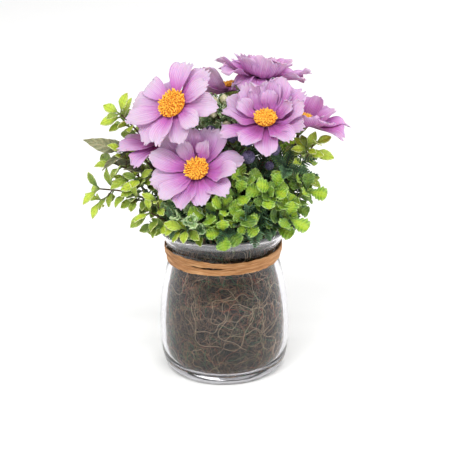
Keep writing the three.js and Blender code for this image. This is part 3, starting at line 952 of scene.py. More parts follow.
@dataclass(frozen=True)
class Line:
    """A point of a blade's middle line, with the lean and half the width there."""

    x: float
    z: float
    lean: float
    half: float

    def toward(self, other: "Line", share: float) -> "Line":
        """The line's point at a share of the way to another."""
        pairs = ((self.x, other.x), (self.z, other.z), (self.lean, other.lean), (self.half, other.half))
        return Line(*(lerp(a, b, share) for a, b in pairs))

    def point(self, across: float, up: float, ahead: float = 0.0) -> Vector:
        """A point beside the line, in the blade's frame: to its side, up out of it and forward along it."""
        cos, sin = math.cos(self.lean), math.sin(self.lean)
        return Vector((self.x + ahead * cos - up * sin, across, self.z + ahead * sin + up * cos))


def blade_line(stations: Sequence[Station]) -> list[Line]:
    """The middle line through a blade's stations.

    Args:
        stations: the blade's stations.

    Returns:
        A point of the line for each station.
    """
    x, z = stations[0].s, 0.0
    line = [Line(x, z, stations[0].lean, stations[0].half)]
    for before, here in zip(stations, stations[1:]):
        mean = (before.lean + here.lean) / 2
        x += (here.s - before.s) * math.cos(mean)
        z += (here.s - before.s) * math.sin(mean)
        line.append(Line(x, z, here.lean, here.half))
    return line


def fine_line(stations: Sequence[Station], rows: int, width: Callable[[float], float]) -> list[Line]:
    """Even rows along a blade's line.

    Args:
        stations: the blade's stations.
        rows: how many stretches the line gets.
        width: half the blade's width at a share of its length.

    Returns:
        The line's points, one more than there are stretches.
    """
    start, end = stations[0].s, stations[-1].s
    leans = [(station.s, station.lean) for station in stations]
    finer = []
    for i in range(rows + 1):
        s = lerp(start, end, i / rows)
        finer.append(Station(s, width(s / end), along_table(leans, s, soft=False)))
    return blade_line(finer)


def probe_points(stations: Sequence[Station], fold: float, sweep: float, frame: Matrix) -> list[Vector]:
    """Points spread over the outer half of a blade, by which its place is told.

    Args:
        stations: the blade's stations.
        fold: how far its sides rise, as a share of their distance from the middle line.
        sweep: how far its sides run forward, as such a share.
        frame: the blade's frame.

    Returns:
        The points.
    """
    line = blade_line(stations)
    points = []
    for before, here in list(zip(line, line[1:]))[-3:]:
        for share in (0.5, 1.0):
            at = before.toward(here, share)
            for across in (-0.9, -0.5, 0.0, 0.5, 0.9):
                lift = abs(across) * at.half
                points.append(frame @ at.point(across * at.half, fold * lift, sweep * lift))
    return points


class BladeMesh:
    """A mesh that gathers thin blades, each cut from a grid and bent into place."""

    def __init__(self) -> None:
        """Starts an empty mesh with the layers that the finishes read."""
        self.bm = bmesh.new()
        self.uv = self.bm.loops.layers.uv.new("blade")
        self.tone = self.bm.verts.layers.float.new("tone")

    def add(self, along: int, across: int, place: Callable[[float, float], Vector], tone: float) -> None:
        """Adds a blade.

        Args:
            along: how many faces run along it.
            across: how many faces lie side by side.
            place: gives the place of a point from its share along and its side, from -1 to 1.
            tone: the blade's own value from 0 to 1, for its finish.
        """
        made = bmesh.ops.create_grid(self.bm, x_segments=along, y_segments=across, size=1.0)["verts"]
        for vert in made:
            u, v = (vert.co.x + 1) / 2, vert.co.y
            for loop in vert.link_loops:
                loop[self.uv].uv = (u, (v + 1) / 2)
            vert[self.tone] = tone
            vert.co = place(u, v)

    def thicken(self, thickness: float) -> None:
        """Gives every blade its thickness and closes it."""
        thicken(self.bm, thickness)


# ---- jar


@dataclass(frozen=True)
class Jar:
    """The clear jar with a rolled rim, pressed in one piece."""

    height: float = 95.0
    body_radius: float = 41.2
    neck_radius: float = 34.6
    rim_radius: float = 39.8
    wall: float = 2.7
    floor: float = 4.2
    bead: float = 2.0
    filled_to: float = 88.0
    steps: int = 112

    @property
    def mouth(self) -> float:
        """How far from the middle a leaf may stand inside the rim."""
        return self.neck_radius - 4

    def holds(self, point: Vector) -> bool:
        """Whether a point lies in the wall, the lip or the filled room.

        Args:
            point: the point.

        Returns:
            Whether the jar takes it up, with a small gap.
        """
        r = math.hypot(point.x, point.y)
        in_wall = point.z < self.height + 1.2 and self.mouth < r < self.rim_radius + 1.5
        return in_wall or (point.z < self.filled_to and r <= self.mouth)

    def profile(self) -> list[Pair]:
        """Radius and height along the whole wall, outside first.

        Returns:
            The profile's points, which start and end on the axis.
        """
        body, neck, wall = self.body_radius, self.neck_radius, self.wall
        rim, top = self.rim_radius - self.bead, self.height - self.bead
        turns = (-0.15, 0.05, 0.25, 0.43, 0.6, 0.82, 1.05)
        bead = self.bead
        lip = [(rim + bead * math.cos(t * math.pi), top + bead * math.sin(t * math.pi)) for t in turns]
        outside = [(34.0, 0.0), (36.2, 0.7), (38.1, 3.2), (39.6, 8.0), (body - 0.4, 16), (body, 28)]
        outside += [(body - 1.6, 48), (body - 4.6, 64), (neck, 73.5), (neck, 82)]
        outside += [(neck + 1.7, 84.5), (neck + 2.9, 88.5)]
        inside = [(neck - wall, 81), (neck - wall, 73), (body - 4.6 - wall, 62.5), (body - 1.6 - wall, 47)]
        inside += [(body - wall, 28), (body - wall - 0.9, 12), (35.3, 6.6), (31.0, self.floor + 0.1)]
        curve = StemCurve([(r, 0.0, z) for r, z in [*outside, *lip, *inside]])
        wall_line = [(p.x, p.z) for p in curve.spaced(104)]
        return [(0.0, 0.0), (17.0, 0.0), *wall_line, (15.0, self.floor), (0.0, self.floor)]

    def build(self) -> None:
        """Makes the jar, whose rim and foot take milkier glass than its wall: a painted whitish highlight."""
        bm = spun(self.profile(), self.steps)
        # The rim's and the foot's faces take the milkier glass, a painted highlight.
        under_rim = self.height - 2.2 * self.bead
        for face in bm.faces:
            if not self.floor <= face.calc_center_median().z <= under_rim:
                face.material_index = 1
        finishes = [ClearGlass().build(), ClearGlass("rim_and_foot_painted_highlight_glass", clearness=0.82).build()]
        finish_piece("clear_jar", bm, finishes, "glass", ["jar"], 60)


JAR = Jar()


# ---- fibre


@dataclass(frozen=True)
class Strands:
    """One tone of strands: their number, thickness, length, curl, height over the wad, bends and colours."""

    name: str
    count: int
    radius: float
    length: Pair
    curl: float
    stand_off: Pair
    steps: int
    dark: str
    light: str


@dataclass
class FibreWad:
    """The wad of plant fibre that fills the jar: a dense core, painted near black as shade, under curly
    strands.
    """

    profile: tuple[Pair, ...] = (
        (0.0, 4.9), (15.0, 4.9), (30.0, 4.8), (33.4, 7.0), (35.2, 13.0), (35.8, 28.0), (34.6, 44.0),
        (32.4, 58.0), (30.0, 68.0), (29.2, 78.0), (28.2, 84.0), (24.0, 86.4), (12.0, 86.8), (0.0, 86.8),
    )
    tones: tuple[Strands, ...] = (
        Strands("dark", 1000, 0.2, (12, 32), 0.9, (0.0, 1.0), 9, "1C120B", "3E2F22"),
        Strands("brown", 1700, 0.12, (10, 30), 0.9, (0.6, 1.6), 9, "5E422C", "C49C78"),
        Strands("olive", 700, 0.13, (12, 34), 0.9, (0.4, 1.5), 9, "44442A", "8E8A5E"),
        Strands("tan", 52, 0.14, (40, 110), 1.1, (1.4, 1.9), 30, "B89A76", "EED6B2"),
        Strands("red", 64, 0.14, (14, 40), 0.6, (1.0, 1.7), 12, "96442C", "D68464"),
        Strands("green", 170, 0.2, (12, 34), 0.6, (0.8, 1.5), 9, "2C5238", "5E8A5E"),
    )
    starts: Pair = (0.2, 0.95)
    ends: Pair = (0.14, 0.97)
    lowest: float = 4.7
    core_sink: float = 0.9
    core_rows: int = 90
    core_steps: int = 120

    def __post_init__(self) -> None:
        """Measures the profile, along which strands are laid."""
        self.curve = StemCurve([(r, 0.0, z) for r, z in self.profile])

    def spot(self, run: float, turn: float, lift: float) -> Vector:
        """A point over the wad's surface.

        Args:
            run: its share of the way from the foot's middle to the top's middle.
            turn: its angle round the wad.
            lift: its height over the surface.

        Returns:
            The point.
        """
        at = self.curve.at(run)
        tangent = self.curve.tangent(run)
        r, z = at.x + tangent.z * lift, at.z - tangent.x * lift
        return Vector((r * math.cos(turn), r * math.sin(turn), max(z, self.lowest)))

    def core(self) -> None:
        """Makes the dense core, rough all over, its fibre's dark painted near black as the shade between
        strands.
        """
        bm = spun([(p.x, p.z) for p in self.curve.spaced(self.core_rows)], self.core_steps)
        bm.normal_update()
        for vert in bm.verts:
            rough = noise.noise(vert.co * 0.35) * 0.8 + noise.noise(vert.co * 1.1) * 0.5
            vert.co += vert.normal * (rough - self.core_sink)
        # The core shows in the gaps between strands: its dark brown is deepened into painted shade.
        finish = Fibre("fibre_core", "16120E", "3C352B")
        finish_piece("fibre_core", bm, [finish.build()], "fibre", ["fibre_wad"], 80)

    def route(self, index: int, salt: int, tone: Strands) -> list[Vector]:
        """One strand's points, which wander over the wad with a curl of their own.

        Args:
            index: the strand's number.
            salt: the tone's own series of chances.
            tone: the tone.

        Returns:
            The points.
        """
        length = lerp(*tone.length, chance(index, salt + 3) ** 1.5)
        step = length / tone.steps
        run = lerp(*self.starts, chance(index, salt))
        turn = 2 * math.pi * chance(index, salt + 1)
        heading = 2 * math.pi * chance(index, salt + 2)
        bend = tone.curl * lerp(-1.0, 1.0, chance(index, salt + 4))
        lift = lerp(*tone.stand_off, chance(index, salt + 5))
        points = []
        for i in range(tone.steps + 1):
            wave = 0.6 * math.sin(i * 0.9 + index)
            points.append(self.spot(run, turn, lift + 0.35 * math.sin(i * 0.8 + index * 2.0)))
            radius = max(self.curve.at(run).x, 5.0)
            run += step * math.cos(heading + wave) / self.curve.length
            run = min(max(run, self.ends[0]), self.ends[1])
            turn += step * math.sin(heading + wave) / radius
            heading += bend * 6.0 / tone.steps
        return points

    def build(self) -> None:
        """Makes the wad."""
        self.core()
        for salt, tone in enumerate(self.tones):
            routes = [self.route(i, 10 * salt + 3, tone) for i in range(tone.count)]
            bm = bmesh.new()
            add_tubes(bm, routes, tone.radius, taper=0.6)
            finish = Fibre(f"fibre_{tone.name}", tone.dark, tone.light)
            finish_piece(f"strands_{tone.name}", bm, [finish.build()], "fibre", ["fibre_wad"], 80)


# ---- raffia


@dataclass(frozen=True)
class RaffiaTurn:
    """One turn of the raffia strip round the neck, pleated, a little frayed and drawn aside in front."""

    STEPS = 180
    ROWS = 12
    FRONT = math.radians(-100)
    DRAWN = 0.45

    name: str
    node: str
    inner: float
    middle: float
    tilt: float
    high_at: float
    width: float
    lift: float
    thickness: float = 0.6

    def place(self, turn: float, side: float) -> Vector:
        """A point of the strip's middle.

        Args:
            turn: its angle round the neck.
            side: -1 at the lower edge, 1 at the upper.

        Returns:
            The point.
        """
        around = Vector((math.cos(turn), math.sin(turn), 0.0))
        z = self.middle + self.tilt * math.cos(turn - self.high_at) + 0.25 * math.sin(3 * turn + self.high_at)
        fray = noise.noise(around * 9 + Vector((0, 0, side * 3 + self.middle))) * 0.55 * abs(side)
        pleat = noise.noise(Vector((around.x * 1.6, around.y * 1.6, side * 2.2 + self.middle))) * 0.3
        pleat += 0.16 * math.sin(side * 8.0 + 2.0 * math.sin(turn * 2.0))
        front = (turn - self.FRONT + math.pi) % (2 * math.pi) - math.pi
        edge = -side if self.lift > 0 else side
        z += self.lift * math.exp(-((front / self.DRAWN) ** 2)) * smooth(-0.4, 1.0, edge)
        r = self.inner + self.thickness / 2 + max(pleat, -0.1)
        return around * r + Vector((0, 0, z + side * self.width / 2 + fray))

    def build(self, finish: Material) -> None:
        """Makes the turn.

        Args:
            finish: the raffia's material.
        """
        bm = bmesh.new()
        uv = bm.loops.layers.uv.new("blade")
        sides = [lerp(-1.0, 1.0, i / self.ROWS) for i in range(self.ROWS + 1)]
        corners = [bm.verts.new((self.inner, 0.0, side)) for side in sides]
        spin_round(bm, corners, self.STEPS)
        bmesh.ops.remove_doubles(bm, verts=bm.verts, dist=0.001)
        for face in bm.faces:
            centre = face.calc_center_median()
            middle = math.atan2(centre.y, centre.x)
            for loop in face.loops:
                at = loop.vert.co
                away = (math.atan2(at.y, at.x) - middle + math.pi) % (2 * math.pi) - math.pi
                loop[uv].uv = ((middle + away) / (2 * math.pi), (at.z + 1) / 2)
        for vert in bm.verts:
            vert.co = self.place(math.atan2(vert.co.y, vert.co.x), vert.co.z)
        bmesh.ops.recalc_face_normals(bm, faces=bm.faces)
        thicken(bm, self.thickness)
        finish_piece(self.name, bm, [finish], "raffia", [self.node], 60)


RAFFIA_TURNS = (
    RaffiaTurn(
        "raffia_band_lower", "raffia_lower_turn", inner=35.1, middle=76.2, tilt=0.7, high_at=0.4,
        width=5.2, lift=-1.5,
    ),
    RaffiaTurn(
        "raffia_band_upper", "raffia_upper_turn", inner=36.2, middle=80.0, tilt=0.6, high_at=2.2,
        width=4.6, lift=1.5,
    ),
)


# ---- stems

STEM_RADIUS = 1.15
TWIG_RADIUS = 0.85
WAD_TOP = 86.0
STEM_STEPS = 34


def stem_curve(foot: Pair, path: Sequence[Triple]) -> StemCurve:
    """A stem's curve: straight up out of the wad at its foot, then through the points given."""
    return StemCurve([(*foot, WAD_TOP - 8), (*foot, WAD_TOP + 2), *path])


def stem_route(foot: Pair, curve: StemCurve) -> list[Vector]:
    """The points of a stem from its end inside the wad to its tip."""
    bottom = Vector((*foot, WAD_TOP - 30))
    return [bottom, *(p for p in curve.spaced(STEM_STEPS) if p.z > WAD_TOP - 7)]


# ---- blooms


@dataclass(frozen=True)
class Petals:
    """The sizes that all petals share."""

    count: int = 6
    reach: float = 31.0
    half_width: float = 6.8
    fold: float = 0.16
    spread: float = 1.07
    cloth: float = 0.36
    rows: int = 22
    columns: int = 14
    sizes: Pair = (0.9, 1.04)
    stray: float = 3.0
    roll: float = 4.0
    rises: Pair = (0.4, -1.0)
    drop: float = 14.0
    steepest: float = 80.0
    outline: tuple[Pair, ...] = (
        (0.08, 0.24), (0.2, 0.32), (0.32, 0.5), (0.46, 0.76), (0.6, 0.95), (0.72, 1.02), (0.84, 0.99),
        (0.92, 0.88), (1.0, 0.62),
    )
    moves: tuple[Pair, ...] = (
        (0, 0), (8, 0), (0, 9), (0, -9), (-8, 0), (16, 0), (10, 9), (10, -9), (-14, 9), (-14, -9), (24, 0),
        (18, 14), (18, -14), (32, 0), (28, 14), (28, -14), (40, 0), (48, 0), (40, 16), (40, -16), (56, 0),
    )

    def stations(self, cup: float, size: float) -> list[Station]:
        """A petal's stations: flat under the disc, bent up by the cup, easing outwards again.

        Args:
            cup: how far it is bent up, as an angle.
            size: its size.

        Returns:
            The stations.
        """
        reach, half = self.reach * size, self.half_width * size
        return [
            Station(3.0, 0.0, 0.0),
            Station(9.5, 0.5 * half, math.radians(3)),
            Station(0.56 * reach, 0.94 * half, cup),
            Station(0.86 * reach, 0.92 * half, cup - math.radians(10)),
            Station(reach, 0.0, cup - math.radians(18)),
        ]


PETALS = Petals()


@dataclass(frozen=True)
class PetalBend:
    """One petal's own form: its rows, its fold, the wave of its edges, its twist and the cut of its tip."""

    CREASE = 0.75
    CHANNEL = 0.28
    RIB = 0.1
    TIP_CURL = 2.2

    frame: Matrix
    rows: tuple[Line, ...]
    reach: float
    fold: float
    wave: float
    twist: float
    notch: float
    curl: float
    phase: float

    def point(self, u: float, v: float) -> Vector:
        """The place of a point of the petal.

        Args:
            u: its share along the petal.
            v: its side, from -1 to 1.

        Returns:
            The place in millimetres.
        """
        line = self.rows[round(u * (len(self.rows) - 1))]
        aside = abs(v)
        teeth = 0.5 - 0.5 * math.cos(3.4 * math.pi * v + 6.3 * self.phase)
        cut = (0.11 * aside**2.6 + self.notch * teeth) * u**9 * self.reach
        rough = noise.noise(Vector((v * 4.6, u * 1.2, self.phase * 31)))
        crease = self.CREASE * rough * smooth(0.05, 0.35, u)
        wave = math.sin(2 * math.pi * (1.25 * u + self.phase) + (1.9 if v > 0 else 0.0))
        edge = self.wave * wave * aside**2 * u
        channel = -self.CHANNEL * math.exp(-((v / 0.2) ** 2)) * smooth(0.1, 0.5, u) * (1 - 0.5 * u)
        ribs = self.RIB * math.cos(7.5 * math.pi * v) * smooth(1.0, 0.4, 1 - u) * (1 - u * 0.6)
        up = self.fold * line.half * (0.3 * aside + 0.7 * v * v) + edge + channel + ribs + crease
        up -= self.curl * smooth(0.72, 1.0, u) * self.TIP_CURL
        angle = self.twist * u * u
        cos, sin = math.cos(angle), math.sin(angle)
        across = v * line.half
        return self.frame @ line.point(across * cos - up * sin, across * sin + up * cos, -cut)


@dataclass(frozen=True)
class ShortPetals:
    """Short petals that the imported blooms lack: how far they cup, how high they start, how wide they are."""

    cups: Pair
    rise: float
    breadth: float
    series: int
    number: int


INNER = ShortPetals((46, 66), 1.3, 0.95, 0, 200)
HANGING = ShortPetals((-62, -40), -1.5, 1.0, 9, 300)


@dataclass(frozen=True)
class Bloom:
    """One bloom: its place, the way it faces, its cup, its first petal's turn and where its petals stand up.

    Its edges' ruffle, its disc's size and how far the deep colour runs out along its petals are its own, too.
    Short petals are given by their turn round the bloom and their size: the inner ones stand up round its
    disc, and the hanging ones cover its stem's cup.
    """

    FLORETS = 230
    DISC_RADIUS = 7.7
    DISC_BASE = 2.0
    DISC_DOME = 2.4
    GOLDEN_TURN = 2.399963
    BEHIND = 24
    CUP = ((0.0, -8.4), (1.5, -8.2), (2.4, -6.6), (3.7, -4.4), (4.5, -2.6), (4.6, -1.6), (0.0, -1.6))

    name: str
    at: Triple
    faces: Triple
    cup: float
    turn: float
    foot: Pair
    raised: tuple[Triple, ...]
    ruffle: float
    disc: float
    blush: float
    inner: tuple[Pair, ...] = ()
    hanging: tuple[Pair, ...] = ()

    def frame(self) -> Matrix:
        """The bloom's frame.

        Returns:
            The frame's matrix, with Z out of the bloom's face.
        """
        z = Vector(self.faces).normalized()
        x = (Vector((1, 0, 0)) - z * z.x).normalized()
        return basis(x, z.cross(x), z, Vector(self.at))

    def path(self) -> list[Triple]:
        """The stem's points, up to the green cup behind the petals.

        Returns:
            The points.
        """
        back = -Vector(self.faces).normalized()
        behind = Vector(self.at) + back * self.BEHIND
        low = Vector((*self.foot, WAD_TOP + 4)).lerp(behind, 0.5)
        return [tuple(p) for p in (low, behind, Vector(self.at) + back * 4)]

    def raised_by(self, around: float) -> float:
        """How far a petal stands up beyond the cup, by where it grows.

        Args:
            around: its place round the bloom, in degrees.

        Returns:
            The angle in degrees.
        """
        total = 0.0
        for middle, reach, cup in self.raised:
            away = abs((around - middle + 180) % 360 - 180)
            total += cup * max(0.0, 1 - away / (1.6 * reach))
        return total

    def bends(self, index: int, node: PackedNode) -> list[PetalBend]:
        """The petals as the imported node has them, and the short ones beside them.

        Args:
            index: the bloom's number.
            node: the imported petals.

        Returns:
            Each petal's form.
        """
        found = []
        for i in range(2 * PETALS.count):
            layer = 0 if i < PETALS.count else 1
            size = lerp(*PETALS.sizes, draw(i, 3 * index + 1))
            stray = lerp(-PETALS.stray, PETALS.stray, draw(i, 3 * index + 2))
            roll = math.radians(lerp(-PETALS.roll, PETALS.roll, draw(i, 3 * index + 3)))
            around = self.turn + ((i + 0.5 * layer) * 360) / PETALS.count
            cup = self.cup - PETALS.drop * layer + stray + self.raised_by(around)
            for raise_by, swing in PETALS.moves:
                stations = PETALS.stations(math.radians(min(cup + raise_by, PETALS.steepest)), size)
                turned = Matrix.Rotation(math.radians(around + swing), 4, "Z")
                lifted = Matrix.Translation((0, 0, PETALS.rises[layer])) @ Matrix.Rotation(roll, 4, "X")
                place = self.frame() @ turned @ lifted
                probes = probe_points(stations, PETALS.fold, 0.0, place)
                if node.carries(probes):
                    found.append(self.bend(i + 17 * index, size, stations, place))
                    break
        return found + self.short(index, INNER, self.inner) + self.short(index, HANGING, self.hanging)

    def short(self, index: int, kind: ShortPetals, petals: Sequence[Pair]) -> list[PetalBend]:
        """Short petals of one kind.

        Args:
            index: the bloom's number.
            kind: the kind.
            petals: each one's turn round the bloom, in degrees, and its size.

        Returns:
            Each petal's form.
        """
        made = []
        for i, (around, size) in enumerate(petals):
            cup = math.radians(lerp(*kind.cups, chance(i, index + kind.series)))
            turned = self.frame() @ Matrix.Rotation(math.radians(around), 4, "Z")
            place = turned @ Matrix.Translation((0, 0, kind.rise))
            number = i + 17 * index + kind.number
            made.append(self.bend(number, kind.breadth * size, PETALS.stations(cup, size), place))
        return made

    def bend(self, number: int, size: float, stations: Sequence[Station], place: Matrix) -> PetalBend:
        """Gives a petal a form of its own, near its stations.

        Args:
            number: the petal's number.
            size: its size.
            stations: its stations.
            place: its frame.

        Returns:
            Its form.
        """
        half = PETALS.half_width * PETALS.spread * size
        rows = fine_line(stations, PETALS.rows, lambda share: half * along_table(PETALS.outline, share))
        rolled = chance(number, 41) > 0.8
        return PetalBend(
            frame=place,
            rows=tuple(rows),
            reach=stations[-1].s,
            fold=lerp(0.08, 0.42, chance(number, 42)) + (0.35 if rolled else 0.0),
            wave=self.ruffle * lerp(0.4, 1.4, chance(number, 43)),
            twist=lerp(-0.35, 0.35, chance(number, 44)),
            notch=lerp(0.02, 0.09, chance(number, 45)),
            curl=lerp(-0.4, 1.0, chance(number, 46)),
            phase=chance(number, 47),
        )

    def build_petals(self, bends: Sequence[PetalBend], finish: Material) -> None:
        """Makes the petals and the hub that holds them.

        Args:
            bends: the petals' forms.
            finish: the cloth.
        """
        sheet = BladeMesh()
        for i, bend in enumerate(bends):
            sheet.add(PETALS.rows, PETALS.columns, bend.point, lerp(self.blush, draw(i, 48), 0.35))
        sheet.thicken(PETALS.cloth)
        hub = bmesh.ops.create_cone(
            sheet.bm, cap_ends=True, segments=24, radius1=4.6, radius2=5.2, depth=2.4, matrix=self.frame()
        )
        bmesh.ops.bevel(
            sheet.bm, geom=list({e for v in hub["verts"] for e in v.link_edges if len(e.link_faces) == 2}),
            offset=0.2, segments=1, profile=0.5, affect="EDGES", material=-1,
        )
        finish_piece(f"cloth_petals_{self.name}", sheet.bm, [finish], "petal", [f"petals_{self.name}"], 60)

    def build_disc(self, index: int, finish: Material) -> None:
        """Makes the domed centre of packed florets.

        Args:
            index: the bloom's number.
            finish: the florets' material.
        """
        radius, base, dome = self.DISC_RADIUS * self.disc, self.DISC_BASE, self.DISC_DOME
        bm = bmesh.new()
        tone = bm.verts.layers.float.new("tone")
        for vert in bmesh.ops.create_uvsphere(bm, u_segments=28, v_segments=14, radius=1.0)["verts"]:
            x, y, z = vert.co
            vert.co = Vector((x * radius, y * radius, base + z * (dome if z > 0 else 0.2)))
            # Painted shade: the dome under the florets is deep orange, deepest at its middle.
            vert[tone] = 0.25 * math.hypot(x, y)
        for k in range(self.FLORETS):
            share = math.sqrt((k + chance(k, 54)) / self.FLORETS)
            turn = k * self.GOLDEN_TURN + index + 0.3 * chance(k, 55)
            r = share * (radius - 0.2)
            dimple = 0.5 * math.exp(-((r / 2.2) ** 2))
            height = base + dome * math.sqrt(max(1 - (r / radius) ** 2, 0.0)) - dimple
            out = Vector((math.cos(turn), math.sin(turn), 0.0))
            lean = out * (0.2 + 0.9 * share**3) + Vector((0, 0, 1))
            grown = lerp(0.9, 2.5, chance(k, 51)) * lerp(0.75, 1.1, share)
            head = lerp(0.36, 0.66, chance(k, 52)) * lerp(0.8, 1.1, share)
            turned = lean.to_track_quat("Z", "Y").to_matrix().to_4x4()
            middle = out * r + Vector((0, 0, height)) + lean.normalized() * grown * 0.3
            shape = Matrix.Diagonal((head, head, grown * 0.62, 1.0))
            made = bmesh.ops.create_icosphere(
                bm, subdivisions=1, radius=1.0, matrix=Matrix.Translation(middle) @ turned @ shape
            )["verts"]
            for vert in made:
                # Painted shade and light: a floret's lower part is deep orange, its head yellow.
                top = (vert.co - middle).dot(lean) > -0.1 * grown
                vert[tone] = (0.75 if top else 0.1) + 0.6 * (chance(k, 53) - 0.5)
        bmesh.ops.transform(bm, matrix=self.frame(), verts=bm.verts)
        finish_piece(f"floret_disc_{self.name}", bm, [finish], "disc", [f"disc_{self.name}"], 80)

    def build_stem(self, bark: Material, green: Material) -> None:
        """Makes the stem and the green cup behind the petals.

        Args:
            bark: the stem's finish.
            green: the cup's finish.
        """
        cup = spun(self.CUP, 32)
        for vert in cup.verts:
            turn = math.atan2(vert.co.y, vert.co.x)
            share = 1 + 0.07 * math.cos(8 * turn)
            vert.co = Vector((vert.co.x * share, vert.co.y * share, vert.co.z))
        bmesh.ops.transform(cup, matrix=self.frame(), verts=cup.verts)
        for face in cup.faces:
            face.material_index = 1
        curve = stem_curve(self.foot, self.path())
        add_tubes(cup, [stem_route(self.foot, curve)], STEM_RADIUS)
        finish_piece(f"wire_stem_{self.name}", cup, [bark, green], "stem", [f"stem_{self.name}"])


BLOOMS = (
    Bloom(
        "top", (25, 14, 185.5), (0.15, 0.14, 0.98), 20, 0, (5, 6), ((-90, 50, 46),), 2.0, 0.9, 0.9,
        ((10, 0.72), (62, 0.66), (113, 0.7), (165, 0.74), (216, 0.78), (255, 0.8), (290, 0.78), (328, 0.76)),
        ((198, 0.74), (230, 0.7), (262, 0.6), (295, 0.62), (330, 0.74)),
    ),
    Bloom(
        "upper_left", (-28.4, -10, 174), (-0.46, -0.62, 0.64), 23, 12, (-9, -4), ((95, 45, -34),),
        0.9, 1.12, 0.2,
    ),
    Bloom(
        "centre_right", (26.4, -14, 164.6), (-0.04, -0.46, 0.89), 30, 0, (7, -6), ((90, 70, 36), (0, 30, 26)),
        2.0, 0.84, 0.75, ((15, 0.7), (50, 0.8), (78, 0.72), (108, 0.82), (150, 0.72)),
    ),
    Bloom(
        "front", (-14.8, -26, 138), (-0.18, -0.68, 0.7), 28, 40, (-3, -14), ((95, 50, 18), (-35, 30, 34)),
        1.5, 0.9, 0.5, ((62, 0.66), (118, 0.7)),
    ),
    Bloom(
        "right", (49, 7, 157.5), (0.25, 0.05, 0.96), 22, 0, (15, 4), ((-105, 45, 40), (90, 50, 26)),
        1.7, 0.9, 1.3, ((20, 0.8), (68, 0.88), (112, 0.9), (164, 0.84), (236, 0.66), (308, 0.68)),
    ),
    Bloom(
        "lower_left", (-34.5, 1, 148.5), (-0.2, -0.22, 0.95), 24, 20, (-16, 1), ((60, 50, 20),),
        1.4, 0.95, 0.75,
    ),
    Bloom("back", (6, 30, 172), (-0.15, 0.36, 0.92), 25, 0, (-1, 13), ((-90, 60, 52),), 1.5, 0.8, 0.3),
)


# ---- leafy sprays


@dataclass(frozen=True)
class LeafKind:
    """A kind of leaf: the sizes that its packed blades have, and the finer form that is made over them."""

    slot: str
    finish: LeafPlastic
    length: float
    half_width: float
    fold: float
    sweep: float
    curl: float
    spacing: float
    lean: float
    tip: int
    outline: tuple[Pair, ...]
    shape: tuple[Pair, ...]
    stalk: float
    scallops: int = 0
    scallop_depth: float = 0.0
    ruffle: float = 0.0
    relief: float = 0.06
    leaflets: int = 0
    rows: int = 14
    columns: int = 6
    thickness: float = 0.5

    def stations(self, size: float) -> list[Station]:
        """The leaf's stations at a size."""
        long, wide = self.length * size, self.half_width * size
        return [Station(s * long, half * wide, math.radians(self.curl) * s) for s, half in self.outline]

    def width(self, size: float, share: float) -> float:
        """Half the finer leaf's width.

        Args:
            size: the leaf's size.
            share: the share of its length.

        Returns:
            The width there in millimetres.
        """
        wide = self.half_width * size
        body = along_table(self.shape, share) * wide
        if self.scallops and share > self.stalk:
            wave = abs(math.sin(math.pi * self.scallops * (share - self.stalk) / (1 - self.stalk)))
            body *= 1 - self.scallop_depth * (1 - wave)
        return max(body, 0.42 if share < self.stalk + 0.06 else 0.0)


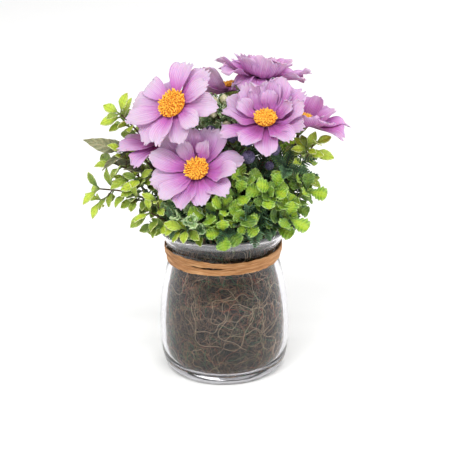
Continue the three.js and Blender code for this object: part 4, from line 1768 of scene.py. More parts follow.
class Leaf(Enum):
    """The kinds of leaf in the jar."""

    POINTED = LeafKind(
        "leaf_pointed",
        LeafPlastic(
            "leaf_pointed", "3C5A20", "BAD23E", "E6EAB0", "94AC40", 0.38, 0.2, 1.0, rimmed=0.85,
            glow="CADA34", painted_highlight_share=0.6,
        ),
        length=14.5, half_width=3.1, fold=0.18, sweep=0.0, curl=-30, spacing=8.5, lean=62, tip=3,
        outline=((0, 0), (0.44, 1), (0.74, 0.84), (1, 0)),
        shape=(
            (0.0, 0.13), (0.2, 0.13), (0.34, 0.62), (0.5, 1.02), (0.64, 1.04), (0.78, 0.84), (0.9, 0.46),
            (1.0, 0.0),
        ),
        stalk=0.22, ruffle=0.25,
    )
    SCALLOPED = LeafKind(
        "leaf_scalloped",
        LeafPlastic(
            "leaf_scalloped", "1C4222", "82AF2A", "BBD285", "A8C850", 0.34, 0.3, 1.0, 43.0, rimmed=0.65,
            glow="C4D622", painted_highlight_share=0.6,
        ),
        length=13.5, half_width=4.6, fold=0.22, sweep=0.0, curl=-16, spacing=7.5, lean=62, tip=3,
        outline=((0, 0), (0.44, 0.8), (0.54, 0.72), (0.76, 1), (0.85, 0.74), (1, 0)),
        shape=(
            (0.0, 0.1), (0.15, 0.1), (0.28, 0.3), (0.42, 0.58), (0.58, 0.86), (0.74, 1.05), (0.86, 1.06),
            (0.95, 0.82), (1.0, 0.35),
        ),
        stalk=0.15, scallops=5, scallop_depth=0.2, ruffle=0.7, relief=0.18, rows=31,
    )
    LANCE = LeafKind(
        "leaf_lance",
        LeafPlastic("leaf_lance", "454C32", "8E8E66", "B2B08C", "B4B08C", 0.45, 0.5, 0.5, painted_highlight_share=0.0),
        length=24, half_width=4.2, fold=0.2, sweep=0.0, curl=-14, spacing=11, lean=50, tip=1,
        outline=((0, 0), (0.34, 1), (0.64, 0.82), (1, 0)),
        shape=(
            (0.0, 0.12), (0.1, 0.2), (0.24, 0.78), (0.38, 1.02), (0.55, 0.94), (0.75, 0.6), (0.9, 0.24),
            (1.0, 0.0),
        ),
        stalk=0.1, ruffle=0.35, rows=18,
    )
    FERN = LeafKind(
        "leaf_fern",
        LeafPlastic("leaf_fern", "1A3824", "5C8C58", "86AC80", "4C7850", 0.5, 0.2, 0.9, 12.0, painted_highlight_share=0.0),
        length=23, half_width=5, fold=0.1, sweep=0.75, curl=-24, spacing=9, lean=46, tip=1,
        outline=(
            (0, 0), (0.13, 0.95), (0.2, 0.25), (0.27, 1), (0.36, 0.22), (0.42, 0.88), (0.51, 0.18),
            (0.56, 0.66), (0.66, 0.14), (0.7, 0.42), (0.78, 0.1), (1, 0),
        ),
        shape=((0.0, 0.85), (0.15, 1.0), (0.4, 0.94), (0.7, 0.6), (0.9, 0.26), (1.0, 0.1)),
        stalk=0.05, leaflets=11, rows=24,
    )
    FRILLY = LeafKind(
        "leaf_frilly",
        LeafPlastic("leaf_frilly", "54784A", "A8C884", "E2ECC6", "8EB072", 0.5, 0.2, 0.9, painted_highlight_share=0.1),
        length=9.5, half_width=3.6, fold=0.3, sweep=0.2, curl=20, spacing=6.5, lean=58, tip=3,
        outline=((0, 0), (0.42, 0.9), (0.54, 0.5), (0.78, 1), (1, 0)),
        shape=((0.0, 0.14), (0.14, 0.16), (0.4, 0.9), (0.6, 0.86), (0.8, 1.0), (0.93, 0.7), (1.0, 0.0)),
        stalk=0.12, scallops=5, scallop_depth=0.58, ruffle=1.0, relief=0.12, rows=24,
    )


LEAF_MOVES = (
    (0, 0), (22, 0), (-22, 0), (0, 20), (0, -16), (44, 8), (-44, 8), (66, 0), (-66, 0), (90, 12), (-90, 12),
)


def leaf_frame(curve: StemCurve, u: float, about: float, lean: float) -> Matrix:
    """The frame of a leaf on its stem, turned partly to the light.

    Args:
        curve: the stem.
        u: the leaf's place on it.
        about: its turn about the stem in degrees.
        lean: its lean from the stem in degrees.

    Returns:
        The frame, with X along the leaf and Z out of its upper face.
    """
    at, tangent = curve.at(min(u, 0.995)), curve.tangent(min(u, 0.995))
    side = tangent.cross(Vector((0.3, -0.2, 1))).normalized()
    side.rotate(Matrix.Rotation(math.radians(about), 3, tangent))
    cos, sin = math.cos(math.radians(lean)), math.sin(math.radians(lean))
    along = tangent * cos + side * sin
    light = Vector((0.004 * at.x, -0.8 if at.y < 15 else 0.8, 0.5))
    up = (tangent * sin - side * cos).lerp(light, 0.66)
    x = along.normalized()
    y = up.cross(x).normalized()
    return basis(x, y, x.cross(y), at)


@dataclass(frozen=True)
class LeafBlade:
    """One leaf in its place, with its number in the draws and its tone, which sets its painted light and
    shade.
    """

    MIDRIB = 0.22
    VEINS = 5.4

    kind: LeafKind
    frame: Matrix
    size: float
    number: int
    tone: float

    def probes(self) -> list[Vector]:
        """Points that lie on the leaf's outer half."""
        return probe_points(self.kind.stations(self.size), self.kind.fold, self.kind.sweep, self.frame)

    def add_to(self, sheet: BladeMesh) -> None:
        """Adds the leaf to a mesh of blades.

        Args:
            sheet: the mesh.
        """
        kind = self.kind
        rows = fine_line(kind.stations(self.size), kind.rows, lambda share: kind.width(self.size, share))
        if kind.leaflets:
            self._frond(sheet, rows)
            return
        twist = lerp(-0.35, 0.35, chance(self.number, 61))
        phase = chance(self.number, 62)
        ruffle = kind.ruffle * lerp(0.5, 1.2, chance(self.number, 63))

        def place(u: float, v: float) -> Vector:
            """The place of a point of the leaf.

            Args:
                u: its share along the leaf.
                v: its side, from -1 to 1.

            Returns:
                The place in millimetres.
            """
            line = rows[round(u * kind.rows)]
            aside = abs(v)
            wave = ruffle * math.sin(2 * math.pi * (2.2 * u + phase) + (2.1 if v > 0 else 0.0)) * aside**2
            up = kind.fold * line.half * (0.45 * aside + 0.55 * v * v) + wave * smooth(0.2, 0.5, u)
            up -= self.MIDRIB * math.exp(-((v / 0.22) ** 2)) * smooth(0.2, 0.4, u)
            up += kind.relief * math.cos(2 * math.pi * (self.VEINS * u - 1.1 * aside)) * aside
            turned = twist * u
            across = v * line.half
            cos, sin = math.cos(turned), math.sin(turned)
            swept = kind.sweep * line.half * aside
            return self.frame @ line.point(across * cos - up * sin, across * sin + up * cos, swept)

        sheet.add(kind.rows, kind.columns, place, self.tone)

    def _frond(self, sheet: BladeMesh, rows: Sequence[Line]) -> None:
        """Adds a frond: its rib and its pairs of narrow leaflets.

        Args:
            sheet: the mesh of blades.
            rows: the frond's middle line.
        """
        kind = self.kind
        last = len(rows) - 1

        def on_line(share: float) -> Line:
            """The middle line at one place.

            Args:
                share: its share of the length.

            Returns:
                The line there.
            """
            place = min(max(share, 0.0), 1.0) * last
            before = min(int(place), last - 1)
            return rows[before].toward(rows[before + 1], place - before)

        def rib(u: float, v: float) -> Vector:
            """The place of a point of the rib."""
            return self.frame @ on_line(u).point(v * lerp(0.42, 0.16, u), 0.15)

        sheet.add(10, 1, rib, self.tone * 0.5)
        for i in range(kind.leaflets):
            share = lerp(0.05, 0.93, i / (kind.leaflets - 1))
            root = on_line(share)
            reach = root.half * lerp(0.9, 1.1, chance(i, self.number))
            for side in (-1, 1):

                def leaflet(u: float, v: float) -> Vector:
                    """The place of a point of a leaflet.

                    Args:
                        u: its share along the leaflet.
                        v: its side, from -1 to 1.

                    Returns:
                        The place in millimetres.
                    """
                    wide = 0.55 * self.size * (0.35 + 0.65 * math.sin(math.pi * min(0.15 + 0.8 * u, 1.0)))
                    wide *= 1 - smooth(0.75, 1.0, u) * 0.9
                    out = side * u * reach
                    lift = kind.fold * abs(out) + 0.35 * math.sin(3 * u + i) * u
                    return self.frame @ root.point(out, lift, kind.sweep * abs(out) + v * wide)

                sheet.add(3, 1, leaflet, lerp(self.tone, chance(i, 65), 0.3))


@dataclass
class Spray:
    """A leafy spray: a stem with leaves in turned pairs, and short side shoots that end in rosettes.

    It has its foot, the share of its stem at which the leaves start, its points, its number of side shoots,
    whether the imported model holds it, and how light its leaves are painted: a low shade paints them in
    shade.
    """

    SIZES = (0.78, 1.1)
    STRAY = 24
    SHOOT_REACH = (6.0, 12.0)
    ROSETTE = (*((1.0, 45 + 90 * i, 48.0) for i in range(4)), (0.55, 0.0, 62.0), (0.55, 180.0, 62.0))
    ROSETTE_SIZES = (0.6, 0.95)
    ROSETTE_MOVES = 7

    name: str
    leaf: Leaf
    foot: Pair
    start: float
    path: tuple[Triple, ...]
    shoots: int = 4
    packed: bool = True
    # shade scales the leaves' painted light; below 1 it paints them in shade.
    shade: float = 1.0
    leaves: list[LeafBlade] = field(default_factory=list)
    twigs: list[list[Vector]] = field(default_factory=list)

    def __post_init__(self) -> None:
        """Lays out the stem."""
        self.curve = stem_curve(self.foot, self.path)

    def tone(self, u: float, number: int) -> float:
        """A leaf's painted light: painted shade inside the bunch, lighter at the stem's tip, spread at random.
        """
        grown = lerp(0.12, 1.0, smooth(self.start - 0.05, 1.0, u))
        return self.shade * grown * lerp(0.1, 1.2, chance(number, 64) ** 1.2)

    def places(self) -> list[Triple]:
        """Where the stem's leaves grow.

        Returns:
            Each leaf's share of the stem, turn about it and lean.
        """
        kind = self.leaf.value
        found = []
        s, pair = self.start * self.curve.length, 0
        while s < self.curve.length - 2:
            for half_turn in (0, 180):
                found.append((s / self.curve.length, 90.0 * pair + half_turn, kind.lean))
            s += kind.spacing
            pair += 1
        for i in range(kind.tip):
            found.append((1.0, 30 + (360 / kind.tip) * i, 42.0 if kind.tip > 1 else 4.0))
        return found

    def settle(self, salt: int, fits: Callable[[list[Vector]], bool]) -> None:
        """Places the leaves of the stem itself.

        Args:
            salt: the spray's own series of draws.
            fits: whether a leaf may stand with its points there.
        """
        kind = self.leaf.value
        for i, (u, about, lean) in enumerate(self.places()):
            size = lerp(*self.SIZES, draw(i, salt))
            stray = self.STRAY * (draw(i, salt + 31) - 0.5)
            for swing, tilt in LEAF_MOVES:
                frame = leaf_frame(self.curve, u, about + stray + swing, lean + tilt)
                blade = LeafBlade(kind, frame, size, i + 7 * salt, self.tone(u, i + 7 * salt))
                if fits(blade.probes()):
                    self.leaves.append(blade)
                    break

    def branch(self, salt: int, room: Room) -> None:
        """Adds side shoots wherever there is room for a rosette.

        Args:
            salt: the spray's own series of draws.
            room: what is taken so far.
        """
        for j in range(self.shoots):
            u = lerp(max(self.start - 0.14, 0.2), 0.96, (j + 0.5) / self.shoots)
            base, tangent = self.curve.at(u), self.curve.tangent(u)
            side = tangent.orthogonal().normalized()
            side.rotate(Matrix.Rotation(2.4 * j + 6.28 * draw(salt, 71), 3, tangent))
            reach = lerp(*self.SHOOT_REACH, draw(j, salt + 72))
            tip = base + (tangent * 0.45 + side * 0.8 + Vector((0, 0, 0.3))).normalized() * reach
            if not room.clear([tip, base.lerp(tip, 0.7)]):
                continue
            middle = base.lerp(tip, 0.5) + side * 0.12 * reach
            shoot = StemCurve([tuple(base), tuple(middle), tuple(tip)])
            if self.rosette(shoot, 8 * salt + j, u, room):
                self.twigs.append(shoot.spaced(8))
                room.take(shoot.spaced(8))

    def rosette(self, shoot: StemCurve, salt: int, stem_share: float, room: Room) -> int:
        """Sets four leaves round a shoot's tip and a pair below it.

        Args:
            shoot: the side shoot.
            salt: the shoot's own series of draws.
            stem_share: where the shoot leaves its stem.
            room: what is taken so far.

        Returns:
            How many leaves found room.
        """
        kind = self.leaf.value
        found = 0
        for i, (u, about, lean) in enumerate(self.ROSETTE):
            size = lerp(*self.ROSETTE_SIZES, draw(i, salt))
            for swing, tilt in LEAF_MOVES[: self.ROSETTE_MOVES]:
                frame = leaf_frame(shoot, u, about + 40 * draw(i, salt + 5) + swing, lean + tilt)
                blade = LeafBlade(kind, frame, size, i + 11 * salt, self.tone(stem_share, i + 11 * salt))
                probes = blade.probes()
                if room.clear(probes):
                    self.leaves.append(blade)
                    room.take(probes)
                    found += 1
                    break
        return found

    def build(self, leaf_finish: Material, bark: Material) -> None:
        """Makes the spray.

        Args:
            leaf_finish: the leaves' material.
            bark: the stem's material.
        """
        kind = self.leaf.value
        sheet = BladeMesh()
        for blade in self.leaves:
            blade.add_to(sheet)
        sheet.thicken(kind.thickness)
        bmesh.ops.remove_doubles(sheet.bm, verts=sheet.bm.verts, dist=0.01)
        add_tubes(sheet.bm, [stem_route(self.foot, self.curve)], TWIG_RADIUS, 1, 0.6)
        if self.twigs:
            add_tubes(sheet.bm, self.twigs, 0.45, 1, 0.7)
        nodes = [f"spray_{self.name}"] if self.packed else []
        finish_piece(f"leafy_{self.name}", sheet.bm, [leaf_finish, bark], kind.slot, nodes, 45)


def sprays() -> list[Spray]:
    """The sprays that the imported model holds.

    Returns:
        The sprays, in the model's order.
    """
    pointed, scalloped = Leaf.POINTED, Leaf.SCALLOPED
    table = (
        ("lance_left", Leaf.LANCE, (-12, -10), 0.7, ((-32, -4, 116), (-50, 0, 139), (-62, 0, 143)), 0),
        ("scalloped_centre", scalloped, (5, -19), 0.5, ((9, -24, 108), (10, -27, 120), (9, -34, 125))),
        ("scalloped_mid", scalloped, (12, -19), 0.5, ((14, -27, 101), (13, -31, 111), (12, -38, 115))),
        ("scalloped_rim", scalloped, (6, -26), 0.45, ((5, -31, 98), (2, -38, 104), (0, -43, 105))),
        ("scalloped_left", scalloped, (-3, -21), 0.5, ((-4, -28, 101), (-6, -33, 111), (-8, -39, 114))),
        ("scalloped_right", scalloped, (17, -14), 0.52, ((26, -21, 108), (31, -24, 121), (31, -31, 127))),
        ("scalloped_right_low", scalloped, (22, -14), 0.48, ((29, -22, 100), (36, -27, 108), (39, -33, 110))),
        ("scalloped_far_right", scalloped, (24, -4), 0.55, ((38, -8, 106), (48, -11, 116), (51, -15, 120))),
        ("pointed_left", pointed, (-21, -5), 0.55, ((-38, -8, 108), (-58, -7, 118), (-76, -5, 120))),
        ("pointed_left_high", pointed, (-22, 4), 0.6, ((-40, 2, 112), (-54, -3, 129), (-66, -4, 136))),
        ("pointed_left_top", pointed, (-16, 9), 0.72, ((-34, 16, 118), (-50, 13, 148), (-62, 8, 164)), 2),
        ("pointed_left_mid", pointed, (-18, -9), 0.5, ((-32, -14, 108), (-46, -12, 120), (-55, -10, 129))),
        ("pointed_left_low", pointed, (-20, -14), 0.5, ((-32, -24, 104), (-44, -27, 112))),
        ("pointed_rim", pointed, (-11, -22), 0.5, ((-14, -30, 100), (-22, -40, 106))),
        ("pointed_right_high", pointed, (22, 7), 0.6, ((38, 6, 112), (49, -1, 132), (56, -5, 147))),
        ("pointed_back_left", pointed, (-15, 18), 0.58, ((-34, 34, 108), (-50, 44, 126)), 7),
        ("scalloped_back_right", scalloped, (15, 17), 0.6, ((33, 32, 108), (44, 42, 124)), 7),
        ("scalloped_back", scalloped, (0, 23), 0.6, ((-2, 42, 108), (-6, 52, 126)), 7),
        ("fern_right", Leaf.FERN, (13, -9), 0.62, ((26, -9, 112), (36, -7, 128), (42, -5, 142))),
        ("fern_rim", Leaf.FERN, (17, -22), 0.5, ((18, -30, 101), (20, -36, 107))),
        ("fern_back", Leaf.FERN, (8, 21), 0.72, ((14, 40, 108), (20, 50, 120)), 5),
        ("frilly_left", Leaf.FRILLY, (-13, -17), 0.55, ((-17, -27, 104), (-22, -35, 113)), 6),
        ("frilly_top", Leaf.FRILLY, (2, -1), 0.75, ((5, -2, 120), (5, -2, 148), (6, -4, 165)), 6),
        ("frilly_mid", Leaf.FRILLY, (-5, 8), 0.75, ((-6, 6, 120), (-9, 5, 144), (-9, 4, 160)), 6),
    )
    return [Spray(*row) for row in table]


def tufts() -> list[Spray]:
    """Frilled and pointed sprigs that fill the gaps between the blooms and the left of the rim.

    Returns:
        The sprigs.
    """
    frilly, pointed = Leaf.FRILLY, Leaf.POINTED
    # The last column is each sprig's shade: how light its leaves are painted, low for painted shade.
    table = (
        ("left", frilly, (-6, 16), 0.58, ((-6, 15, 120), (-7, 14, 146), (-7, 13, 167)), 7, 0.8),
        ("back", frilly, (3, 14), 0.58, ((3, 13, 120), (1, 12, 146), (1, 12, 164)), 7, 0.8),
        ("middle", frilly, (0, -8), 0.6, ((-1, -7, 118), (-3, -4, 140), (-5, -2, 153)), 6, 0.7),
        ("rim", frilly, (-16, -20), 0.45, ((-20, -26, 104), (-26, -31, 119)), 7, 0.9),
        ("rim_low", frilly, (-7, -25), 0.45, ((-10, -31, 102), (-16, -38, 112)), 7, 0.9),
        ("pointed", pointed, (-8, 12), 0.62, ((-10, 14, 120), (-12, 17, 146), (-10, 19, 158)), 5, 0.3),
    )
    return [
        Spray(f"tuft_{name}", leaf, foot, start, path, shoots, packed=False, shade=shade)
        for name, leaf, foot, start, path, shoots, shade in table
    ]


@dataclass(frozen=True)
class FillRing:
    """A ring of short sprays that fill the room between the others, round the mouth of the jar, painted in
    shade.
    """

    SHOOTS = 3
    # Painted shade: the filling sprays stand deep in the bunch and their leaves are painted dark.
    SHADE = 0.2

    name: str
    leaf: Leaf
    count: int
    foot: float
    reach: float
    height: float
    turn: float
    start: float

    def sprays(self) -> list[Spray]:
        """Lays out the ring.

        Returns:
            The ring's sprays.
        """
        made = []
        for i in range(self.count):
            turn = math.radians(self.turn + 360 * i / self.count + 10 * (draw(i, 81) - 0.5))
            out = Vector((math.cos(turn), math.sin(turn), 0.0))
            reach = self.reach * lerp(0.9, 1.1, draw(i, 82))
            tip = out * reach + Vector((0, 0, self.height * lerp(0.97, 1.03, draw(i, 83))))
            foot = out * self.foot
            knee = foot.lerp(tip, 0.45)
            knee.z = lerp(WAD_TOP + 4, tip.z, 0.5)
            made.append(Spray(
                f"{self.name}_{i}", self.leaf, (foot.x, foot.y), self.start, (tuple(knee), tuple(tip)),
                self.SHOOTS, packed=False, shade=self.SHADE,
            ))
        return made


FILL_RINGS = (
    FillRing("fill_fern_low", Leaf.FERN, 20, 22.0, 34.0, 106.0, 8.0, 0.35),
    FillRing("fill_scalloped", Leaf.SCALLOPED, 18, 19.0, 31.0, 113.0, 20.0, 0.45),
    FillRing("fill_fern_high", Leaf.FERN, 16, 12.0, 22.0, 120.0, 0.0, 0.5),
    FillRing("fill_pointed", Leaf.POINTED, 14, 10.0, 27.0, 131.0, 30.0, 0.6),
)


# ---- berries and buds


class Pick(Enum):
    """The two kinds of pick: a pick of berries or of buds."""

    BERRY = Skin("berry", "342E4E", "6C6488", "B4ACC2", 0.9, 0.5)
    BUD = Skin("bud", "BCC084", "F2EEC8", "FBF8E6", 0.35, 0.5)


@dataclass(frozen=True)
class PickStem:
    """A stem with balls on stalks: its foot, its points, and each ball's place and radius."""

    STALK = 15
    STALK_RADIUS = 0.55
    SEPALS = 5
    SEPAL_THICKNESS = 0.25
    BALL_POINTS = 26

    name: str
    pick: Pick
    foot: Pair
    path: tuple[Triple, ...]
    balls: tuple[tuple[float, float, float, float], ...]

    def curve(self) -> StemCurve:
        """The stem's curve."""
        return stem_curve(self.foot, self.path)

    def stalk(self, curve: StemCurve, at: Vector) -> list[Vector]:
        """Bows a stalk out from the stem to its ball.

        Args:
            curve: the stem.
            at: the ball's middle.

        Returns:
            The stalk's points.
        """
        start = min(curve.spaced(40), key=lambda p: abs((p - at).length - self.STALK))
        middle = start.lerp(at, 0.5) + Vector((0, 0, -1))
        return [start, middle, at]

    def taken(self) -> list[Vector]:
        """Finds the room that the pick takes up.

        Returns:
            Points on its stem, stalks and balls.
        """
        curve = self.curve()
        points = [p for p in curve.spaced(60) if p.z > WAD_TOP]
        for x, y, z, radius in self.balls:
            at = Vector((x, y, z))
            points += self.stalk(curve, at)
            for k in range(self.BALL_POINTS):
                rise = 1 - 2 * (k + 0.5) / self.BALL_POINTS
                flat, turn = math.sqrt(1 - rise * rise), 2.4 * k
                points.append(at + radius * Vector((flat * math.cos(turn), flat * math.sin(turn), rise)))
        return points

    def build(self, skin: Material, bark: Material, green: Material) -> None:
        """Makes the pick.

        Args:
            skin: the balls' material.
            bark: the stem's material.
            green: the material of the small leaves that hold each ball.
        """
        curve = self.curve()
        bm = bmesh.new()
        stalks, frames = [], []
        for x, y, z, radius in self.balls:
            at = Vector((x, y, z))
            start, middle, end = self.stalk(curve, at)
            stalks.append(StemCurve([tuple(start), tuple(middle), tuple(end)]).spaced(10))
            turn = (at - middle).to_track_quat("Z", "Y").to_matrix().to_4x4()
            frames.append(Matrix.Translation(at) @ turn)
            self.sepals(bm, frames[-1], radius)
        thicken(bm, self.SEPAL_THICKNESS)
        for number, (frame, ball) in enumerate(zip(frames, self.balls)):
            made = bmesh.ops.create_icosphere(bm, subdivisions=4, radius=ball[3])["verts"]
            for vert in made:
                vert.co = frame @ self.swell(vert.co, ball[3], number)
        add_tubes(bm, [stem_route(self.foot, curve)], TWIG_RADIUS, 1, 0.7)
        add_tubes(bm, stalks, self.STALK_RADIUS, 1, 0.8)
        slot = self.pick.value.name
        finish_piece(f"pick_{self.name}", bm, [skin, bark, green], slot, [self.name])

    def swell(self, at: Vector, radius: float, number: int) -> Vector:
        """Gives a ball the lumps of its kind: a netted berry, or a bud with a closed tip.

        Args:
            at: a point of the plain ball.
            radius: the ball's radius.
            number: the ball's number.

        Returns:
            The point's new place.
        """
        share = at.z / radius
        if self.pick is Pick.BERRY:
            lump = 0.05 * noise.noise(at * (2.4 / radius) + Vector((number, 0, 0)))
            lump += 0.018 * noise.noise(at * 4.0)
            dimple = -0.12 * math.exp(-(((1 - share) / 0.06) ** 2))
            return at * (1 + lump + dimple) + Vector((0, 0, 0.13 * at.z))
        turn = math.atan2(at.y, at.x)
        ribs = 0.05 * math.cos(5 * turn + 2.5 * share) * (1 - share * share)
        slim = 1 - 0.28 * smooth(0.1, 1.0, share)
        return Vector((at.x * (slim + ribs), at.y * (slim + ribs), at.z * 1.15))

    def sepals(self, bm: Mesh, turned: Matrix, radius: float) -> None:
        """Adds small pointed leaves that hold a ball from below.

        Args:
            bm: the pick's mesh.
            turned: the ball's frame.
            radius: the ball's radius.
        """
        for k in range(self.SEPALS):
            made = bmesh.ops.create_grid(bm, x_segments=4, y_segments=2, size=1.0)["verts"]
            spin = Matrix.Rotation(2 * math.pi * k / self.SEPALS, 4, "Z")
            for vert in made:
                u, v = (vert.co.x + 1) / 2, vert.co.y
                angle = math.radians(lerp(172, 112, u))
                shell = radius * 1.08 + 0.12
                wide = 0.34 * radius * math.sin(math.pi * min(0.2 + 0.8 * u, 1.0)) * v
                vert.co = spin @ Vector((shell * math.sin(angle), wide, shell * 1.12 * math.cos(angle)))
                for face in vert.link_faces:
                    face.material_index = 2
            bmesh.ops.transform(bm, matrix=turned, verts=made)


PICKS = (
    PickStem(
        "berries_centre", Pick.BERRY, (6, -13), ((9, -13, 112), (9, -10, 134), (7, -9, 146)),
        ((15.5, -14, 152.8, 4), (15.7, -20, 144, 4), (-6.5, -10, 157.5, 3.4), (6.5, -8, 153, 3.6)),
    ),
    PickStem(
        "berries_right", Pick.BERRY, (10, 0), ((20, -4, 112), (27, -7, 130), (30, -8, 138)),
        ((31, -15, 147, 4.2), (28.5, -18, 137.8, 2.7), (36.5, -1, 150, 3.2)),
    ),
    PickStem(
        "buds_centre", Pick.BUD, (-4, 3), ((-4, 2, 118), (-2, 3, 142), (-1, 3, 158)),
        ((-4, 5, 172, 2.4), (1.5, 5, 173.5, 2.4), (-5, 0, 165.5, 2.3), (3, -5, 160, 2.4)),
    ),
    PickStem(
        "buds_top", Pick.BUD, (0, 8), ((4, 10, 122), (9, 10, 150), (12, 9, 170)),
        ((11, 9, 181, 2.4), (17, 0, 179, 2.2)),
    ),
)


# ---- studio


@dataclass(frozen=True)
class Studio:
    """The pale floor, the soft lights and the camera at the photograph's place.

    Sizes are in metres. Each light has its name, its place, its width and height, and its power in watts.
    """

    floor_half: float = 6.0
    floor_drop: float = 0.0003
    sky_strength: float = 0.6
    lit_at: Triple = (0, 0, 0.12)
    lights: tuple[tuple[str, Triple, Pair, float], ...] = (
        ("key_light", (-0.9, -1.1, 1.5), (1.0, 1.0), 8.5),
        ("fill_light", (1.3, -0.9, 0.9), (1.2, 1.2), 5.0),
        ("rim_light", (0.5, 1.4, 1.2), (1.0, 1.0), 6.0),
        ("rim_strip", (0.0, -0.7, 1.1), (1.1, 0.08), 8.0),
        ("left_strip", (-1.15, 0.3, 0.45), (0.1, 1.0), 4.0),
        ("right_strip", (1.15, 0.2, 0.45), (0.1, 1.0), 4.0),
    )
    target: Triple = (0.0012, 0.0, 0.093)
    distance: float = 0.95
    elevation: float = 21.0
    roll: float = -0.8
    lens: float = 121.6
    sensor: float = 36.0

    def floor(self) -> None:
        """Makes the floor."""
        bm = bmesh.new()
        bmesh.ops.create_grid(bm, x_segments=1, y_segments=1, size=self.floor_half)
        mesh = bpy.data.meshes.new("studio_floor")
        bm.to_mesh(mesh)
        bm.free()
        mesh.materials.append(Paper().build())
        floor = bpy.data.objects.new("studio_floor", mesh)
        floor.location.z = -self.floor_drop
        bpy.context.scene.collection.objects.link(floor)
        floor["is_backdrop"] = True

    def light(self, name: str, at: Triple, size: Pair, power: float) -> None:
        """Adds a soft light that faces the jar.

        Args:
            name: the light's name.
            at: its place.
            size: its width and its height.
            power: its power.
        """
        lamp = bpy.data.lights.new(name, "AREA")
        lamp.shape = "RECTANGLE"
        lamp.size, lamp.size_y = size
        lamp.energy = power
        holder = bpy.data.objects.new(name, lamp)
        holder.location = at
        holder.rotation_euler = (Vector(self.lit_at) - Vector(at)).to_track_quat("-Z", "Y").to_euler()
        holder.visible_camera = False
        bpy.context.scene.collection.objects.link(holder)

    def sky(self) -> None:
        """Lights the whole room with an even pale glow."""
        world = bpy.data.worlds.new("studio_sky")
        world.use_nodes = True
        glow = world.node_tree.nodes["Background"]
        glow.inputs["Color"].default_value = colour("FBFBFC")
        glow.inputs["Strength"].default_value = self.sky_strength
        bpy.context.scene.world = world

    def camera(self) -> None:
        """Sets the camera at the photograph's angle."""
        lens = bpy.data.cameras.new("camera")
        lens.lens = self.lens
        lens.sensor_width = self.sensor
        lens.clip_end = 50.0
        eye = bpy.data.objects.new("camera", lens)
        tilt = math.radians(self.elevation)
        ahead = Vector((0.0, math.cos(tilt), -math.sin(tilt)))
        turned = ahead.to_track_quat("-Z", "Y").to_matrix().to_4x4()
        turned = turned @ Matrix.Rotation(math.radians(self.roll), 4, "Z")
        eye.matrix_world = Matrix.Translation(Vector(self.target) - ahead * self.distance) @ turned
        bpy.context.scene.collection.objects.link(eye)
        bpy.context.scene.camera = eye

    def build(self) -> None:
        """Sets up the studio."""
        self.floor()
        self.sky()
        for lamp in self.lights:
            self.light(*lamp)
        self.camera()
        bpy.context.scene.view_settings.view_transform = "Standard"


# ---- the whole


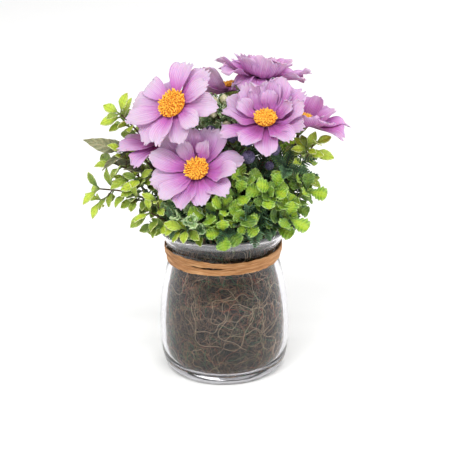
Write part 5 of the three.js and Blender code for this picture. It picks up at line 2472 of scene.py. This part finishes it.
class Arrangement:
    """Everything that stands in the jar.

    An added spray may have SLACK points of its stem in taken room, and others keep PETAL_GAP from a petal.
    The other numbers are where each kind of spray and shoot starts its series of draws.
    """

    SLACK = 3
    PETAL_GAP = 1.9
    PACKED_SPRAYS = 20
    SHOOTS = 120
    TUFTS = 180
    FILLS = 200
    FILL_SHOOTS = 500

    def __init__(self, nodes: dict[str, bpy.types.Object], low: Vector, high: Vector) -> None:
        """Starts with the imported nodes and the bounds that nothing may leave.

        Args:
            nodes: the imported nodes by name.
            low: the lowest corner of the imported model, in metres.
            high: its highest corner, in metres.
        """
        self.nodes = nodes
        self.room = Room(low / MM, high / MM)
        self.sprays = sprays()
        self.bark = Bark("bark_brown", "2E2418", "6A553A").build()
        self.green_bark = Bark("bark_green", "4C5A26", "8E9C4A").build()

    def blooms(self) -> None:
        """Makes the blooms with their discs and stems."""
        cloth = PetalCloth().build()
        pollen = Pollen().build()
        for index, bloom in enumerate(BLOOMS):
            found = bloom.bends(index, PackedNode(self.nodes[f"petals_{bloom.name}"]))
            LOG.info("%s has %d petals", bloom.name, len(found))
            for bend in found:
                spots = (bend.point(i / 9, j / 3) for i in range(10) for j in range(-3, 4))
                self.room.take(spots, self.PETAL_GAP)
            self.room.take(stem_curve(bloom.foot, bloom.path()).spaced(60))
            bloom.build_petals(found, cloth)
            bloom.build_disc(index, pollen)
            bloom.build_stem(self.bark, self.green_bark)

    def picks(self) -> None:
        """Makes the berries and buds."""
        skins = {pick: pick.value.build() for pick in Pick}
        for pick in PICKS:
            self.room.take(pick.taken())
            pick.build(skins[pick.pick], self.bark, self.green_bark)

    def foliage(self) -> None:
        """Makes the sprays, then the short sprays that fill the room between them."""
        for number, spray in enumerate(self.sprays):
            node = PackedNode(self.nodes[f"spray_{spray.name}"])
            spray.settle(self.PACKED_SPRAYS + number, node.carries)
            LOG.info("%s has %d packed leaves of %d", spray.name, len(spray.leaves), len(spray.places()))
            self.room.take(p for p in spray.curve.spaced(60) if p.z > WAD_TOP)
            for blade in spray.leaves:
                self.room.take(blade.probes())
        for number, spray in enumerate(tufts()):
            self.fill(self.TUFTS + number, spray)
        for number, spray in enumerate(self.sprays):
            spray.branch(self.SHOOTS + number, self.room)
        for number, spray in enumerate(spray for ring in FILL_RINGS for spray in ring.sprays()):
            if self.fill(self.FILLS + number, spray):
                spray.branch(self.FILL_SHOOTS + number, self.room)
        finishes = {leaf: leaf.value.finish.build() for leaf in Leaf}
        for spray in self.sprays:
            stem = self.green_bark if spray.leaf is Leaf.SCALLOPED else self.bark
            spray.build(finishes[spray.leaf], stem)

    def fill(self, salt: int, spray: Spray) -> bool:
        """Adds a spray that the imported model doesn't hold, if most of its stem and a leaf find room.

        Args:
            salt: the spray's own series of draws.
            spray: the spray.

        Returns:
            Whether it was added.
        """
        stem = [p for p in spray.curve.spaced(30) if p.z > WAD_TOP + 3]
        if sum(not self.room.clear([p]) for p in stem) > self.SLACK:
            LOG.info("%s finds no room", spray.name)
            return False
        spray.settle(salt, self.fill_fits)
        if not spray.leaves:
            return False
        self.room.take(stem)
        self.sprays.append(spray)
        return True

    def fill_fits(self, probes: list[Vector]) -> bool:
        """Takes the room for an added leaf where it is free.

        Args:
            probes: the leaf's points.

        Returns:
            Whether it was free.
        """
        if not self.room.clear(probes):
            return False
        self.room.take(probes)
        return True


def main() -> None:
    """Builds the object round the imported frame."""
    logging.basicConfig(level=logging.INFO, format="%(message)s")
    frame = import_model()
    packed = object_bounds()
    JAR.build()
    FibreWad().build()
    raffia = Raffia().build()
    for turn in RAFFIA_TURNS:
        turn.build(raffia)
    arrangement = Arrangement(frame["nodes"], Vector(packed[0]), Vector(packed[1]))
    arrangement.blooms()
    arrangement.picks()
    arrangement.foliage()
    Studio().build()


if __name__ == "__main__":
    main()
